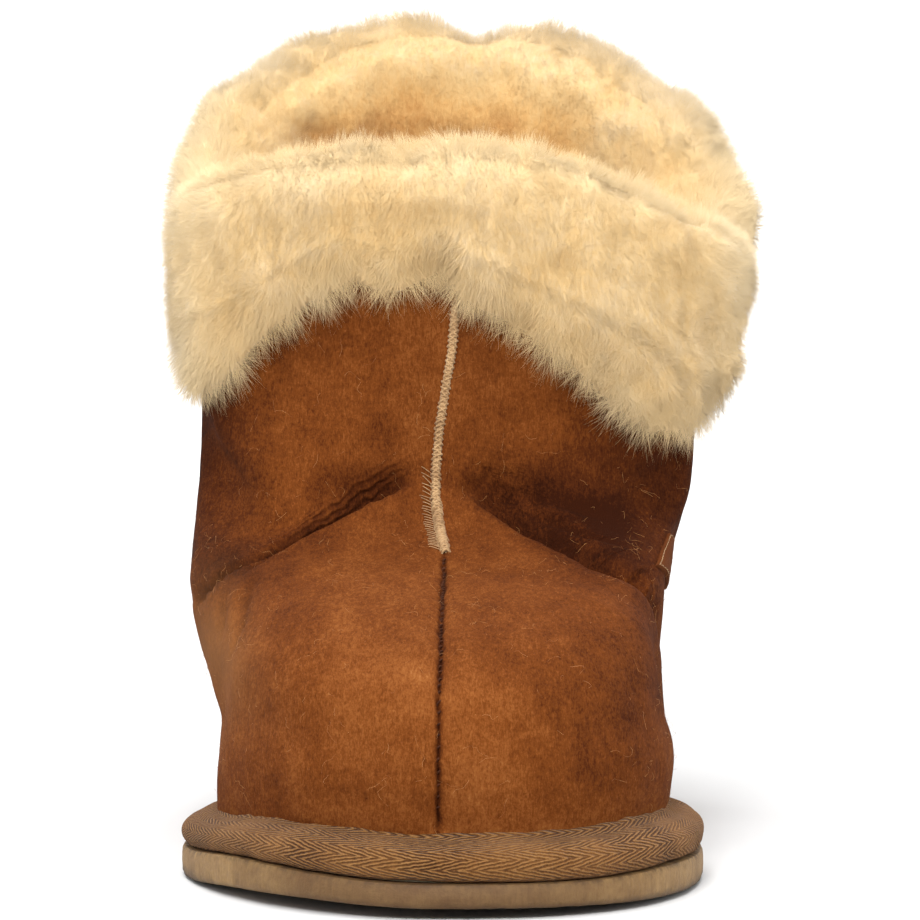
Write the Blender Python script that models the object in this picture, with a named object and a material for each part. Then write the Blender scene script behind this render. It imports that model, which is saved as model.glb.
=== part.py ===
"""House slipper for the right foot: a short sheepskin boot with a turned-down fleece cuff.

Frame: +Z up, the floor at Z = 0. The toe points to -Y, the heel to +Y, and +X is the inner
(medial) side of a right foot. The origin lies on the floor, in the middle of the ball's tread.
Tables and sizes are in millimetres, with Y counted from the middle of the sole's length.
solid() moves them to the origin and turns them into metres.
"""

import math
import random
from collections import namedtuple

import bmesh
import bpy
from mathutils import Vector, noise

MM = 0.001
BALL_Y = -42              # the ball's tread, from the middle of the sole's length
GAP = 0.3                 # clearance between pieces that touch

# Driving sizes of the sole.
OUTSOLE_THICKNESS = 6.4
OUTSOLE_TIP_THINNING = 1.5
PLATFORM_HEIGHT = 6.6     # foam platform inside the taped edge
TAPE_THICKNESS = 1.0
EDGE_OVERHANG = 7.1       # how far the sole stands out beyond the upper
TOE_SPRING = 2.0
OUTER_CORNER_LIFT = 1.3   # the outer front corner curls up a little more than the rest
ARCH_LIFT = 1.0
HEEL_BEVEL = 0.9

# Driving sizes of the upper, the footbed and the fleece.
WALL = 2.5                # hide thickness
FOOTBED_THICKNESS = 5.0
SEAM_WIDTH = 2.4
SEAM_RISE = 1.3

TOE_SEGMENTS, SIDE_SEGMENTS, HEEL_SEGMENTS = 9, 7, 8
RANDOM_SEED = 11

# Sections of the upper from the feather edge, where it meets the sole, to its top edge.
# toe, back: x, y, z of the seam points. fore, mid, rear: y, outer reach, inner reach.
# round: exponents of the curve at the toe's outer side, its inner side and the heel.
# sag: how far the section dips at the outer and the inner side.
Level = namedtuple("Level", "name toe fore mid rear back round sag")
LEVELS = [
    Level("feather", (-0.2, -129, 0), (-46, -46.6, 47.0), (12, -37.5, 35.5),
          (97, -31.0, 38.0), (3.5, 129, 0), (1.8, 2.4, 2.3), (0, 0)),
    Level("bulge", (-0.2, -132, 24), (-44, -46.8, 48.6), (18, -43.5, 42.0),
          (97, -37.0, 44.5), (4.0, 133, 26), (1.9, 2.4, 2.3), (0, 0)),
    Level("wall", (-0.1, -131, 33.5), (-43, -45.2, 47.0), (14, -49.2, 45.4),
          (94, -42.0, 48.6), (4.2, 134.5, 38), (1.9, 2.3, 2.2), (0, 0)),
    Level("toe_edge", (0.0, -124, 43.5), (-43, -43.4, 45.0), (14, -53.0, 47.2),
          (90, -46.0, 50.0), (4.0, 134, 50), (2.0, 2.2, 2.2), (0, 0)),
    Level("toe_crown", (0.2, -110, 51), (-38, -39.5, 42.4), (17, -54.8, 48.6),
          (85, -49.0, 51.6), (3.5, 132.5, 61), (2.0, 2.1, 2.2), (0, 0)),
    Level("vamp_front", (0.4, -88, 56.2), (-30, -36.0, 38.5), (22, -54.8, 50.3),
          (80, -51.0, 53.0), (3.0, 130.5, 69), (2.0, 2.0, 2.2), (0, 0)),
    Level("vamp", (0.6, -60, 60), (-17, -33.0, 35.0), (26, -54.5, 51.6),
          (76, -52.0, 53.8), (2.6, 128.5, 76), (2.0, 2.0, 2.1), (0, 0)),
    Level("vamp_back", (0.7, -34, 63.3), (-4, -32.0, 33.0), (30, -54.3, 52.5),
          (73, -52.6, 54.4), (2.4, 126.5, 82.5), (2.0, 2.0, 2.1), (0, 0)),
    Level("instep", (0.4, -13, 68), (8, -34.0, 34.0), (33, -54.1, 53.4),
          (71, -53.0, 54.8), (2.2, 124.7, 89), (2.0, 2.0, 2.0), (0, 0)),
    Level("throat", (-0.4, 1.5, 75.5), (18, -39.0, 39.0), (40, -54.0, 54.4),
          (70, -53.4, 55.4), (2.2, 123, 96), (2.0, 2.0, 2.0), (0, 0)),
    Level("ankle", (-0.8, 6.5, 84), (30, -48.0, 49.0), (50, -53.8, 55.4),
          (70, -53.2, 55.6), (2.4, 121.5, 103), (2.0, 2.0, 2.0), (0, 0)),
    Level("shaft_low", (-0.2, 9, 95), (42, -52.6, 54.2), (54, -53.6, 56.0),
          (69, -52.8, 55.6), (2.8, 120.5, 114), (2.0, 2.0, 2.0), (1, 2)),
    Level("shaft", (1.8, 11.5, 108), (45, -52.8, 55.8), (55, -53.2, 57.0),
          (70, -52.6, 57.0), (3.4, 120, 128), (2.0, 2.0, 2.0), (5, 7)),
    Level("collar", (2.9, 14, 122), (46, -52.0, 57.4), (56, -52.6, 59.2),
          (71, -52.6, 59.4), (4.0, 121.5, 148), (2.0, 2.0, 2.0), (12, 19)),
    Level("top_edge", (3.4, 17, 140), (47, -51.5, 59.5), (58, -52.6, 61.4),
          (72, -52.4, 61.0), (4.5, 122, 169.5), (2.0, 2.0, 2.0), (20, 31)),
]
SAG_CENTRE, SAG_SPREAD = 60, 32
TOP = len(LEVELS) - 1
# The rings of the mesh lie at every half level up to the ankle, and at every level above it.
RING_HEIGHTS = [k / 2 for k in range(22)] + [11, 12, 13, 14]
FIRST_CUFF_RING = 17

# The fold where the vamp meets the shaft: its height at the front seam, how fast it falls
# towards the outer and the inner side, and the depth and half width of its trough.
Fold = namedtuple("Fold", "height fall depth spread")
OUTER_FOLD = Fold(79.0, 0.50, 3.6, 6.0)
INNER_FOLD = Fold(79.0, 0.62, 4.2, 6.5)
FOLD_BACK_END = 46

# Lower edge of the cuff: place around the ring (0 at the front seam, 0.5 at the back seam),
# and the height of the fleece's tips on the outer and on the inner side.
Hem = namedtuple("Hem", "around outer inner")
HEM = [
    Hem(0.00, 113, 113), Hem(0.03, 115, 107), Hem(0.06, 113, 97), Hem(0.09, 104, 90),
    Hem(0.12, 100, 85), Hem(0.16, 95, 84), Hem(0.21, 92, 90), Hem(0.26, 94, 98),
    Hem(0.34, 102, 106), Hem(0.42, 112, 113), Hem(0.50, 118, 118),
]
HEM_DROOP = 6.0           # the tips hang this far below the hide's edge

# Section of the cuff. along: 0 at the hem, 1 at the upper's top edge, and beyond it
# millimetres above that edge in rise. out: distance from the upper's outer face.
Fleece = namedtuple("Fleece", "along rise out")
FLEECE_SECTION = [
    Fleece(0.00, -1.5, 2.2), Fleece(0.00, -2.5, 5.0), Fleece(0.07, 0, 6.6),
    Fleece(0.28, 0, 7.0), Fleece(0.50, 0, 7.4), Fleece(0.72, 0, 8.4),
    Fleece(0.92, 0, 9.4), Fleece(1.00, 5.0, 8.8), Fleece(1.00, 9.5, 5.2),
    Fleece(1.00, 11.5, -1.2), Fleece(1.00, 9.0, -7.0), Fleece(1.00, 4.0, -11.0),
    Fleece(0.80, 0, -13.0), Fleece(0.45, 0, -13.5), Fleece(0.12, 0, -10.0),
]
FLEECE_LUMP = 1.6
FLEECE_LUMP_SIZE = 15.0
SLOT = 0.6                # room between the fleece's skin side and the upper's wall
SLOT_STEPS = 4
LOCK_LENGTH = (2.0, 4.2)
HEM_LOCK_LENGTH = (4.5, 7.5)

# A plain leather patch on the inner side of the quarter.
PATCH_CENTRE = (28, 64)   # y, z
PATCH_HALF_LENGTH, PATCH_HALF_HEIGHT = 18, 11
PATCH_TILT = 0.08         # its back corner stands a little higher
PATCH_THICKNESS = 1.1
PATCH_STAND_OFF = 0.8     # clears the upper's flat facets between its own points
PATCH_ROUND = 1.4         # exponent of its outline: 1 is a sharp lozenge, 2 an oval

SUEDE = (0.235, 0.085, 0.026)
FLEECE = (0.80, 0.62, 0.36)
EVA = (0.33, 0.19, 0.09)
TAPE = (0.30, 0.145, 0.06)
THREAD = (0.62, 0.42, 0.22)
LEATHER = (0.30, 0.09, 0.02)
FOAM = (0.55, 0.48, 0.36)


# ---------------------------------------------------------------- helpers

def clear_scene():
    for obj in list(bpy.data.objects):
        bpy.data.objects.remove(obj)


def material(name, colour, roughness):
    mat = bpy.data.materials.new(name)
    mat.use_nodes = True
    shader = mat.node_tree.nodes["Principled BSDF"]
    shader.inputs["Base Color"].default_value = (*colour, 1)
    shader.inputs["Roughness"].default_value = roughness
    return mat


def solid(name, bm, mat):
    """One closed mesh object, from a bmesh in millimetres."""
    bmesh.ops.recalc_face_normals(bm, faces=bm.faces)
    bmesh.ops.translate(bm, vec=(0, -BALL_Y, 0), verts=bm.verts)
    bmesh.ops.scale(bm, vec=(MM, MM, MM), verts=bm.verts)
    mesh = bpy.data.meshes.new(name)
    bm.to_mesh(mesh)
    bm.free()
    mesh.shade_smooth()
    mesh.set_sharp_from_angle(angle=math.radians(40))
    obj = bpy.data.objects.new(name, mesh)
    obj.data.materials.append(mat)
    bpy.context.scene.collection.objects.link(obj)
    return obj


def smooth(value, start, end):
    """0 before start, 1 after end, and an even S between them."""
    part = min(1.0, max(0.0, (value - start) / (end - start)))
    return part * part * (3 - 2 * part)


def cubic(a, b, c, d, part):
    """Catmull-Rom value between b and c."""
    return b + 0.5 * part * (c - a + part * (2 * a - 5 * b + 4 * c - d + part * (3 * (b - c) + d - a)))


def grid_faces(bm, rings, close_stack=False):
    """Quads between closed rings of vertices. A closed stack joins the last ring to the first."""
    count = len(rings[0])
    pairs = list(zip(rings, rings[1:]))
    if close_stack:
        pairs.append((rings[-1], rings[0]))
    for lower, upper in pairs:
        for j in range(count):
            k = (j + 1) % count
            bm.faces.new((lower[j], lower[k], upper[k], upper[j]))


def add_ring(bm, points):
    return [bm.verts.new(point) for point in points]


# ---------------------------------------------------------------- form of the last

def lift(x, y):
    """How far the sole's layers rise off the floor's plane: toe spring, outer corner and arch."""
    toe = TOE_SPRING * max(0.0, (-y - 64) / 72) ** 1.5
    corner = OUTER_CORNER_LIFT * smooth(-x, 0, 36) * smooth(-y, 60, 100)
    arch = ARCH_LIFT * smooth(y, -14, 20) * (1 - smooth(y, 46, 74))
    return toe + corner + arch


def level_at(height):
    """The section at a level number, such as 3.5, halfway between two rows of LEVELS."""
    low = min(int(height), TOP - 1)
    part = height - low
    rows = [LEVELS[min(max(low + k, 0), TOP)] for k in (-1, 0, 1, 2)]
    columns = []
    for column in range(1, 8):
        values = zip(*(row[column] for row in rows))
        columns.append(tuple(cubic(*four, part) for four in values))
    return Level("", *columns)


def ring_steps():
    """Places along one side of a section: which stretch, and how far along it."""
    steps = [("toe", i / TOE_SEGMENTS) for i in range(TOE_SEGMENTS)]
    steps += [("side", i / SIDE_SEGMENTS) for i in range(SIDE_SEGMENTS)]
    steps += [("heel", i / HEEL_SEGMENTS) for i in range(HEEL_SEGMENTS)]
    return steps


def section_point(level, step, side):
    """A point of a section on one side: 1 is the outer side, 2 the inner one."""
    stretch, part = step
    turn = part * math.pi / 2
    toe_y, back_y = level.toe[1], level.back[1]
    if stretch == "toe":
        y = toe_y + (level.fore[0] - toe_y) * (1 - math.cos(turn))
    elif stretch == "side":
        y = level.fore[0] + (level.rear[0] - level.fore[0]) * part
    else:
        y = level.rear[0] + (back_y - level.rear[0]) * math.sin(turn)
    fore, mid, rear = level.fore[side], level.mid[side], level.rear[side]
    run = level.fore[0] - toe_y
    waisted = abs(mid) < abs(fore)
    widen = smooth(y, toe_y + (0.85 if waisted else 0.45) * run, level.mid[0])
    narrow = smooth(y, level.mid[0], level.rear[0] + 12)
    reach = fore + (mid - fore) * widen + (rear - mid) * narrow
    ahead = max(0.0, (level.fore[0] - y) / run)
    behind = max(0.0, (y - level.rear[0]) / (back_y - level.rear[0]))
    power = level.round[side - 1]
    closing = max(0.0, 1 - ahead ** power) ** (1 / power)
    heel = level.round[2]
    closing *= max(0.0, 1 - behind ** heel) ** (1 / heel)
    along = (y - toe_y) / (back_y - toe_y)
    seam_x = level.toe[0] + (level.back[0] - level.toe[0]) * along
    x = seam_x + (reach - seam_x) * closing
    z = level.toe[2] + (level.back[2] - level.toe[2]) * along
    z -= level.sag[side - 1] * closing * math.exp(-((y - SAG_CENTRE) / SAG_SPREAD) ** 2)
    return folded(Vector((x, y, z)))


def folded(point):
    """Presses a point of the upper inwards where the fold between vamp and shaft runs."""
    fold = OUTER_FOLD if point.x < 0 else INNER_FOLD
    above = point.z - (fold.height - fold.fall * abs(point.x))
    fade = (1 - smooth(point.y, 18, FOLD_BACK_END)) * (1 - 0.8 * smooth(abs(point.x), 38, 52))
    depth = fold.depth * math.exp(-(above / fold.spread) ** 2) * fade
    return point + Vector((-0.55 * point.x / 54, 0.8, -0.3)) * depth


def section(height):
    """All points of the upper's outer face at a level number, from the toe seam over the outer side."""
    level = level_at(height)
    steps = ring_steps()
    points = [section_point(level, step, 1) for step in steps]
    points.append(Vector(level.back))
    points += [section_point(level, step, 2) for step in reversed(steps[1:])]
    deck = OUTSOLE_THICKNESS + PLATFORM_HEIGHT + 2 * GAP
    fade = max(0.0, 1 - height)
    for point in points:
        point.z += fade * deck + (lift(point.x, point.y) if height < 1 else 0) * fade
    return points


def plan_normal(points, j):
    """Outward direction of a closed outline in plan, at its point j."""
    before, after = points[j - 1], points[(j + 1) % len(points)]
    along = after - before
    return Vector((-along.y, along.x, 0)).normalized()


def outline(offset):
    """The feather edge moved outward in plan by an offset."""
    points = section(0)
    moved = []
    for j, point in enumerate(points):
        spot = point + plan_normal(points, j) * offset
        moved.append(Vector((spot.x, spot.y, 0)))
    return moved


def face_normals(rings):
    """Outward normals of a stack of rings, from the neighbours of each point."""
    normals = []
    count = len(rings[0])
    for i, ring in enumerate(rings):
        above, below = rings[min(i + 1, len(rings) - 1)], rings[max(i - 1, 0)]
        row = []
        for j in range(count):
            around = ring[(j + 1) % count] - ring[j - 1]
            up = above[j] - below[j]
            row.append(up.cross(around).normalized())
        normals.append(row)
    return normals


# ---------------------------------------------------------------- sole

def layer(name, mat, profile, thin_tip):
    """A plate with the sole's outline. profile: offset of the outline and height, bottom to top."""
    bm = bmesh.new()
    rings = []
    for offset, height in profile:
        points = outline(offset)
        for point in points:
            thinning = thin_tip * smooth(-point.y, 96, 134) if height > 0 else 0
            bevel = HEEL_BEVEL * smooth(point.y, 122, 136) if height == 0 else 0
            point.z = height - thinning + bevel + lift(point.x, point.y)
        rings.append(add_ring(bm, points))
    grid_faces(bm, rings)
    cap_plate(bm, rings[0])
    cap_plate(bm, rings[-1])
    return solid(name, bm, mat)


def cap_plate(bm, ring):
    """Closes a plate with strips across it, so that it follows the sole's bend."""
    count = len(ring)
    half = count // 2
    outer, inner = ring[:half + 1], [ring[0]] + ring[:half - 1:-1]
    bm.faces.new((outer[0], outer[1], inner[1]))
    for j in range(1, half - 1):
        bm.faces.new((outer[j], outer[j + 1], inner[j + 1], inner[j]))
    bm.faces.new((outer[half - 1], outer[half], inner[half - 1]))


def make_outsole():
    edge = EDGE_OVERHANG
    profile = [(edge - 1.1, 0), (edge - 0.3, 1.0), (edge, 2.4), (edge - 0.1, 4.6),
               (edge - 0.5, OUTSOLE_THICKNESS)]
    return layer("outsole", material("eva", EVA, 0.75), profile, OUTSOLE_TIP_THINNING)


def bead_profile(grow):
    """The rounded rim of the platform, from its underside to its top, moved outward by grow."""
    rim = EDGE_OVERHANG - TAPE_THICKNESS - GAP
    return [
        (rim - 1.6 + 0.5 * grow, 0.0), (rim - 0.3 + grow, 1.6), (rim + grow, 3.4),
        (rim - 0.7 + 0.85 * grow, 5.2 + 0.5 * grow), (rim - 2.2 + 0.4 * grow, 6.3 + 0.9 * grow),
        (0.5 + 0.8 * grow, PLATFORM_HEIGHT + grow),
    ]


def sole_ring(offset, height):
    """A ring of the taped edge, height above the outsole's top."""
    points = outline(offset)
    for point in points:
        thinning = OUTSOLE_TIP_THINNING * smooth(-point.y, 96, 134)
        point.z = OUTSOLE_THICKNESS - thinning + height + lift(point.x, point.y)
    return points


def make_platform():
    bm = bmesh.new()
    rings = [add_ring(bm, sole_ring(offset, height + GAP)) for offset, height in bead_profile(0)]
    grid_faces(bm, rings)
    cap_plate(bm, rings[0])
    cap_plate(bm, rings[-1])
    return solid("platform", bm, material("foam", FOAM, 0.9))


def make_binding_tape():
    bm = bmesh.new()
    inside, outside = bead_profile(GAP), bead_profile(GAP + TAPE_THICKNESS)
    rings = [add_ring(bm, sole_ring(offset, height + GAP)) for offset, height in inside]
    rings += [add_ring(bm, sole_ring(offset, height + GAP)) for offset, height in reversed(outside)]
    grid_faces(bm, rings, close_stack=True)
    return solid("binding_tape", bm, material("tape", TAPE, 0.9))


def make_footbed():
    """The fleece footbed, its edge rounded and cupped up a little against the upper."""
    top = PLATFORM_HEIGHT + 2 * GAP
    edge = -WALL - 0.8
    profile = [(edge - 0.6, 0), (edge, 1.2), (edge, FOOTBED_THICKNESS - 1.0),
               (edge - 1.4, FOOTBED_THICKNESS), (edge - 9.0, FOOTBED_THICKNESS - 0.8)]
    bm = bmesh.new()
    rings = [add_ring(bm, sole_ring(offset, top + height)) for offset, height in profile]
    grid_faces(bm, rings)
    cap_plate(bm, rings[0])
    cap_plate(bm, rings[-1])
    return solid("footbed", bm, material("footbed_fleece", FLEECE, 0.95))


# ---------------------------------------------------------------- upper

def skin_rings(first=0):
    """The rings of the upper's outer face, from a ring number to its top edge."""
    return [section(height) for height in RING_HEIGHTS[first:]]


def make_upper():
    """Two hide panels as one hollow wall, open at the collar and under the foot."""
    outer = skin_rings()
    normals = face_normals(outer)
    inner = []
    for i, ring in enumerate(outer):
        row = [point - normals[i][j] * WALL for j, point in enumerate(ring)]
        if i in (0, len(outer) - 1):
            for j, point in enumerate(row):
                point.z = ring[j].z
        inner.append(row)
    bm = bmesh.new()
    rings = [add_ring(bm, ring) for ring in outer]
    rings += [add_ring(bm, ring) for ring in reversed(inner)]
    grid_faces(bm, rings, close_stack=True)
    return solid("upper", bm, material("suede", SUEDE, 0.9))


def mesh_ring(height):
    """The upper's ring at any height, as its flat faces have it between two of its own rings."""
    for low, high in zip(RING_HEIGHTS, RING_HEIGHTS[1:]):
        if height <= high:
            part = (height - low) / (high - low)
            return [a.lerp(b, part) for a, b in zip(section(low), section(high))]


def seam_ridge(name, column, start, end):
    """The overcast ridge that stands on the join of the two panels."""
    between = [height for height in RING_HEIGHTS if start < height < end]
    bm = bmesh.new()
    made = []
    for height in [start, *between, end]:
        here, above, below = (mesh_ring(height + step) for step in (0, 0.2, -0.2))
        around = (here[(column + 1) % len(here)] - here[column - 1]).normalized()
        out = (above[column] - below[column]).cross(around).normalized()
        made.append(add_ring(bm, [
            here[column] + around * side * SEAM_WIDTH / 2 + out * (GAP + SEAM_RISE * rise)
            for side, rise in ((-1, 0.0), (-0.8, 0.75), (0, 1.0), (0.8, 0.75), (1, 0.0))
        ]))
    grid_faces(bm, made)
    bm.faces.new(made[0])
    bm.faces.new(made[-1])
    return solid(name, bm, material(name + "_thread", THREAD, 0.8))


# ---------------------------------------------------------------- fleece cuff

def hem_height(around, side):
    """Height of the cuff's lower edge, read from HEM."""
    for low, high in zip(HEM, HEM[1:]):
        if around <= high.around:
            part = smooth(around, low.around, high.around)
            return low[side] + (high[side] - low[side]) * part
    return HEM[-1][side]


def level_at_height(columns, z):
    """The level number where one column of the upper passes a height."""
    for i in range(len(columns) - 1):
        if columns[i].z <= z <= columns[i + 1].z:
            return i + (z - columns[i].z) / (columns[i + 1].z - columns[i].z)
    return len(columns) - 1.0


def make_cuff():
    """The turned-down collar: a thick ring of fleece over the upper's top edge, with locks."""
    dice = random.Random(RANDOM_SEED)
    skin = skin_rings(FIRST_CUFF_RING)
    normals = face_normals(skin)
    count = len(skin[0])
    half = count // 2
    last = len(skin) - 1

    def on_skin(j, place, out, rise):
        low = min(int(place), last - 1)
        point = skin[low][j].lerp(skin[low + 1][j], place - low)
        normal = normals[low][j].lerp(normals[low + 1][j], place - low).normalized()
        return point + normal * out + Vector((0, 0, rise))

    bm = bmesh.new()
    made = []
    for j in range(count):
        side = 1 if j <= half else 2
        around = min(j, count - j) / count
        hem = level_at_height([ring[j] for ring in skin], hem_height(around, side) + HEM_DROOP)
        loop = []
        for row in FLEECE_SECTION:
            point = on_skin(j, hem + (last - hem) * row.along, row.out, row.rise)
            lump = noise.noise_vector(point / FLEECE_LUMP_SIZE) * FLEECE_LUMP
            loop.append(point + lump if abs(row.out) > 4 or row.rise > 4 else point)
        outside = SLOT + (SEAM_RISE + GAP if j in (0, half) else 0)
        steps = [k / SLOT_STEPS for k in range(SLOT_STEPS + 1)]
        for part, out in [(k, -WALL - SLOT) for k in steps] + [(k, outside) for k in steps[::-1]]:
            loop.append(on_skin(j, hem + (last - hem) * part, out, SLOT if part == 1.0 else 0))
        made.append(add_ring(bm, loop))
    grid_faces(bm, made, close_stack=True)
    bmesh.ops.recalc_face_normals(bm, faces=bm.faces)
    bm.faces.ensure_lookup_table()
    size = len(made[0])
    hem_faces = [face for i, face in enumerate(bm.faces) if i % size < 2]
    woolly = [face for i, face in enumerate(bm.faces) if 2 <= i % size < len(FLEECE_SECTION) - 1]
    fuse_locks(woolly, LOCK_LENGTH, 0.35, dice, bm)
    fuse_locks(hem_faces, HEM_LOCK_LENGTH, 1.2, dice, bm)
    return solid("cuff", bm, material("fleece", FLEECE, 0.95))


def fuse_locks(faces, lengths, droop, dice, bm):
    """Raises a pointed lock of wool out of each face."""
    for face in faces:
        centre, normal = face.calc_center_median(), face.normal.copy()
        lean = Vector((dice.uniform(-0.35, 0.35), dice.uniform(-0.35, 0.35), -droop))
        tip = centre + (normal + lean).normalized() * dice.uniform(*lengths)
        made = bmesh.ops.poke(bm, faces=[face])
        made["verts"][0].co = tip


# ---------------------------------------------------------------- patch

def inner_side_at(y, z):
    """The place on the upper's inner side at a y and a height, and the outward direction there."""
    def at(place):
        half = mesh_ring(place)[len(ring_steps()):][::-1]
        for near, far in zip(half, half[1:]):
            if near.y <= y <= far.y:
                return near.lerp(far, (y - near.y) / (far.y - near.y)), (far - near).normalized()
        return half[-1], Vector((0, 1, 0))

    low, high = 0.5, TOP - 0.5
    for _ in range(24):
        middle = (low + high) / 2
        low, high = (middle, high) if at(middle)[0].z < z else (low, middle)
    point, along = at(low)
    up = (at(low + 0.1)[0] - at(low - 0.1)[0]).normalized()
    return point, along.cross(up).normalized()


def make_side_patch():
    """A small leather lozenge that follows the quarter."""
    bm = bmesh.new()
    rims = []
    for lifted in (PATCH_STAND_OFF, PATCH_STAND_OFF + PATCH_THICKNESS):
        rings = []
        for size in (1.0, 0.66, 0.33):
            ring = []
            for k in range(20):
                turn = 2 * math.pi * k / 20
                c, s = math.cos(turn), math.sin(turn)
                along = math.copysign(abs(c) ** (2 / PATCH_ROUND), c) * PATCH_HALF_LENGTH * size
                up = math.copysign(abs(s) ** (2 / PATCH_ROUND), s) * PATCH_HALF_HEIGHT * size
                up += PATCH_TILT * along
                point, out = inner_side_at(PATCH_CENTRE[0] + along, PATCH_CENTRE[1] + up)
                ring.append(point + out * lifted)
            rings.append(add_ring(bm, ring))
        grid_faces(bm, rings)
        point, out = inner_side_at(*PATCH_CENTRE)
        centre = bm.verts.new(point + out * lifted)
        for k in range(20):
            bm.faces.new((rings[-1][k], rings[-1][(k + 1) % 20], centre))
        rims.append(rings[0])
    grid_faces(bm, rims)
    return solid("side_patch", bm, material("patch_leather", LEATHER, 0.55))


clear_scene()
make_outsole()
make_platform()
make_binding_tape()
make_footbed()
make_upper()
seam_ridge("front_seam", 0, 7.6, 12.5)
seam_ridge("back_seam", TOE_SEGMENTS + SIDE_SEGMENTS + HEEL_SEGMENTS, 0.4, 11.4)
make_cuff()
make_side_patch()
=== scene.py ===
"""House slipper for the right foot: a sheepskin ankle slipper with a turned-down fleece cuff.

Frame: metres, +Z up, toe towards -Y, inner side of the foot towards +X, origin on the floor
under the ball of the foot. Tables are in millimetres and turned into metres where a mesh is made.
"""

import math
from collections import namedtuple

import bmesh
import bpy
import numpy as np
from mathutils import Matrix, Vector, noise


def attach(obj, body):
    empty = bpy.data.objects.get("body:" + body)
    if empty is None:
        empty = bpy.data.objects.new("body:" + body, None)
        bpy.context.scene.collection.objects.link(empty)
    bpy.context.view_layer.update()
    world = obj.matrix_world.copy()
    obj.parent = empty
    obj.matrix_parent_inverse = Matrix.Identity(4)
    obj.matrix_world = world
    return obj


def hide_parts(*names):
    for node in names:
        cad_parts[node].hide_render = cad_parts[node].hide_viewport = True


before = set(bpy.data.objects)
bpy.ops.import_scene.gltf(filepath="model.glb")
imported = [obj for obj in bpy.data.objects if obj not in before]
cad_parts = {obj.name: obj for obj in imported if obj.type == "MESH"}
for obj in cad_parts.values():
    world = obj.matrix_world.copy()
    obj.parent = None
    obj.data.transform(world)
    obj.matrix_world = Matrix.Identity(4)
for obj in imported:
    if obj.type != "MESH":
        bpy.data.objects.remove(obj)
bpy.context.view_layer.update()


# ---------------------------------------------------------------- camera, floor and light
# A long lens set down near the floor, looking at the toe. The floor is a pale sweep that
# curves up behind the slipper, under a broad soft key light from above and a little left.

camera = bpy.data.objects.new("camera", bpy.data.cameras.new("camera"))
camera.data.lens = 225.86
camera.data.sensor_width = 36
camera.data.clip_end = 20
camera.location = (0.004, -1.197, 0.132)
camera.rotation_euler = (math.radians(90 - 2.264), 0, 0)
bpy.context.scene.collection.objects.link(camera)
bpy.context.scene.camera = camera

sweep_profile = [(-6.0, 0.0), (3.0, 0.0), (3.6, 0.1), (4.1, 0.5), (4.3, 1.2), (4.3, 6.0)]
bm = bmesh.new()
sides = [[bm.verts.new((x, y, z - 0.0002)) for y, z in sweep_profile] for x in (-6, 6)]
for k in range(len(sweep_profile) - 1):
    bm.faces.new((sides[0][k], sides[1][k], sides[1][k + 1], sides[0][k + 1]))
floor_mesh = bpy.data.meshes.new("floor")
bm.to_mesh(floor_mesh)
bm.free()
floor_mesh.shade_smooth()
floor = bpy.data.objects.new("floor", floor_mesh)
bpy.context.scene.collection.objects.link(floor)
floor_paint = bpy.data.materials.new("pale_sweep")
floor_paint.use_nodes = True
floor_inputs = floor_paint.node_tree.nodes["Principled BSDF"].inputs
floor_inputs["Base Color"].default_value = (0.62, 0.62, 0.62, 1)
floor_inputs["Roughness"].default_value = 0.9
floor.data.materials.append(floor_paint)

SoftLight = namedtuple("SoftLight", "name place aim width height power")
for light in [
    SoftLight("overhead", (-0.15, -0.1, 1.5), (0, 0.06, 0.08), 1.0, 1.0, 14),
    SoftLight("front_above", (-0.18, -1.7, 1.25), (0, 0.0, 0.09), 0.7, 0.7, 41),
    SoftLight("left_side", (-1.7, -0.5, 0.8), (0, 0.05, 0.1), 1.2, 1.2, 6),
    SoftLight("right_side", (1.7, -0.5, 0.8), (0, 0.05, 0.1), 1.2, 1.2, 11),
    SoftLight("backdrop", (0, 2.2, 3.2), (0, 4.3, 1.0), 4.0, 1.0, 230),
]:
    lamp = bpy.data.lights.new(light.name, "AREA")
    lamp.shape = "RECTANGLE"
    lamp.size, lamp.size_y, lamp.energy = light.width, light.height, light.power
    lamp_object = bpy.data.objects.new(light.name, lamp)
    lamp_object.location = light.place
    heading = Vector(light.aim) - Vector(light.place)
    lamp_object.rotation_euler = heading.to_track_quat("-Z", "Y").to_euler()
    bpy.context.scene.collection.objects.link(lamp_object)

# The studio's white walls: brightest overhead, dim near the floor.
world = bpy.data.worlds.new("studio")
world.use_nodes = True
tree = world.node_tree
where = tree.nodes.new("ShaderNodeTexCoord")
split = tree.nodes.new("ShaderNodeSeparateXYZ")
fall = tree.nodes.new("ShaderNodeMapRange")
tree.links.new(where.outputs["Generated"], split.inputs[0])
tree.links.new(split.outputs["Z"], fall.inputs["Value"])
fall.inputs["From Min"].default_value, fall.inputs["From Max"].default_value = -0.1, 0.9
fall.inputs["To Min"].default_value, fall.inputs["To Max"].default_value = 0.25, 0.8
tree.links.new(fall.outputs["Result"], tree.nodes["Background"].inputs["Strength"])
tree.nodes["Background"].inputs["Color"].default_value = (1, 1, 1, 1)
bpy.context.scene.world = world
bpy.context.scene.view_settings.view_transform = "Standard"


# ---------------------------------------------------------------- hide upper
# Two panels of brown sheepskin, napped side out, closed over a last along the middle of the
# toe and the heel. The hide is soft: it folds over itself where the vamp meets the shaft.

MM = 0.001

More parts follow.
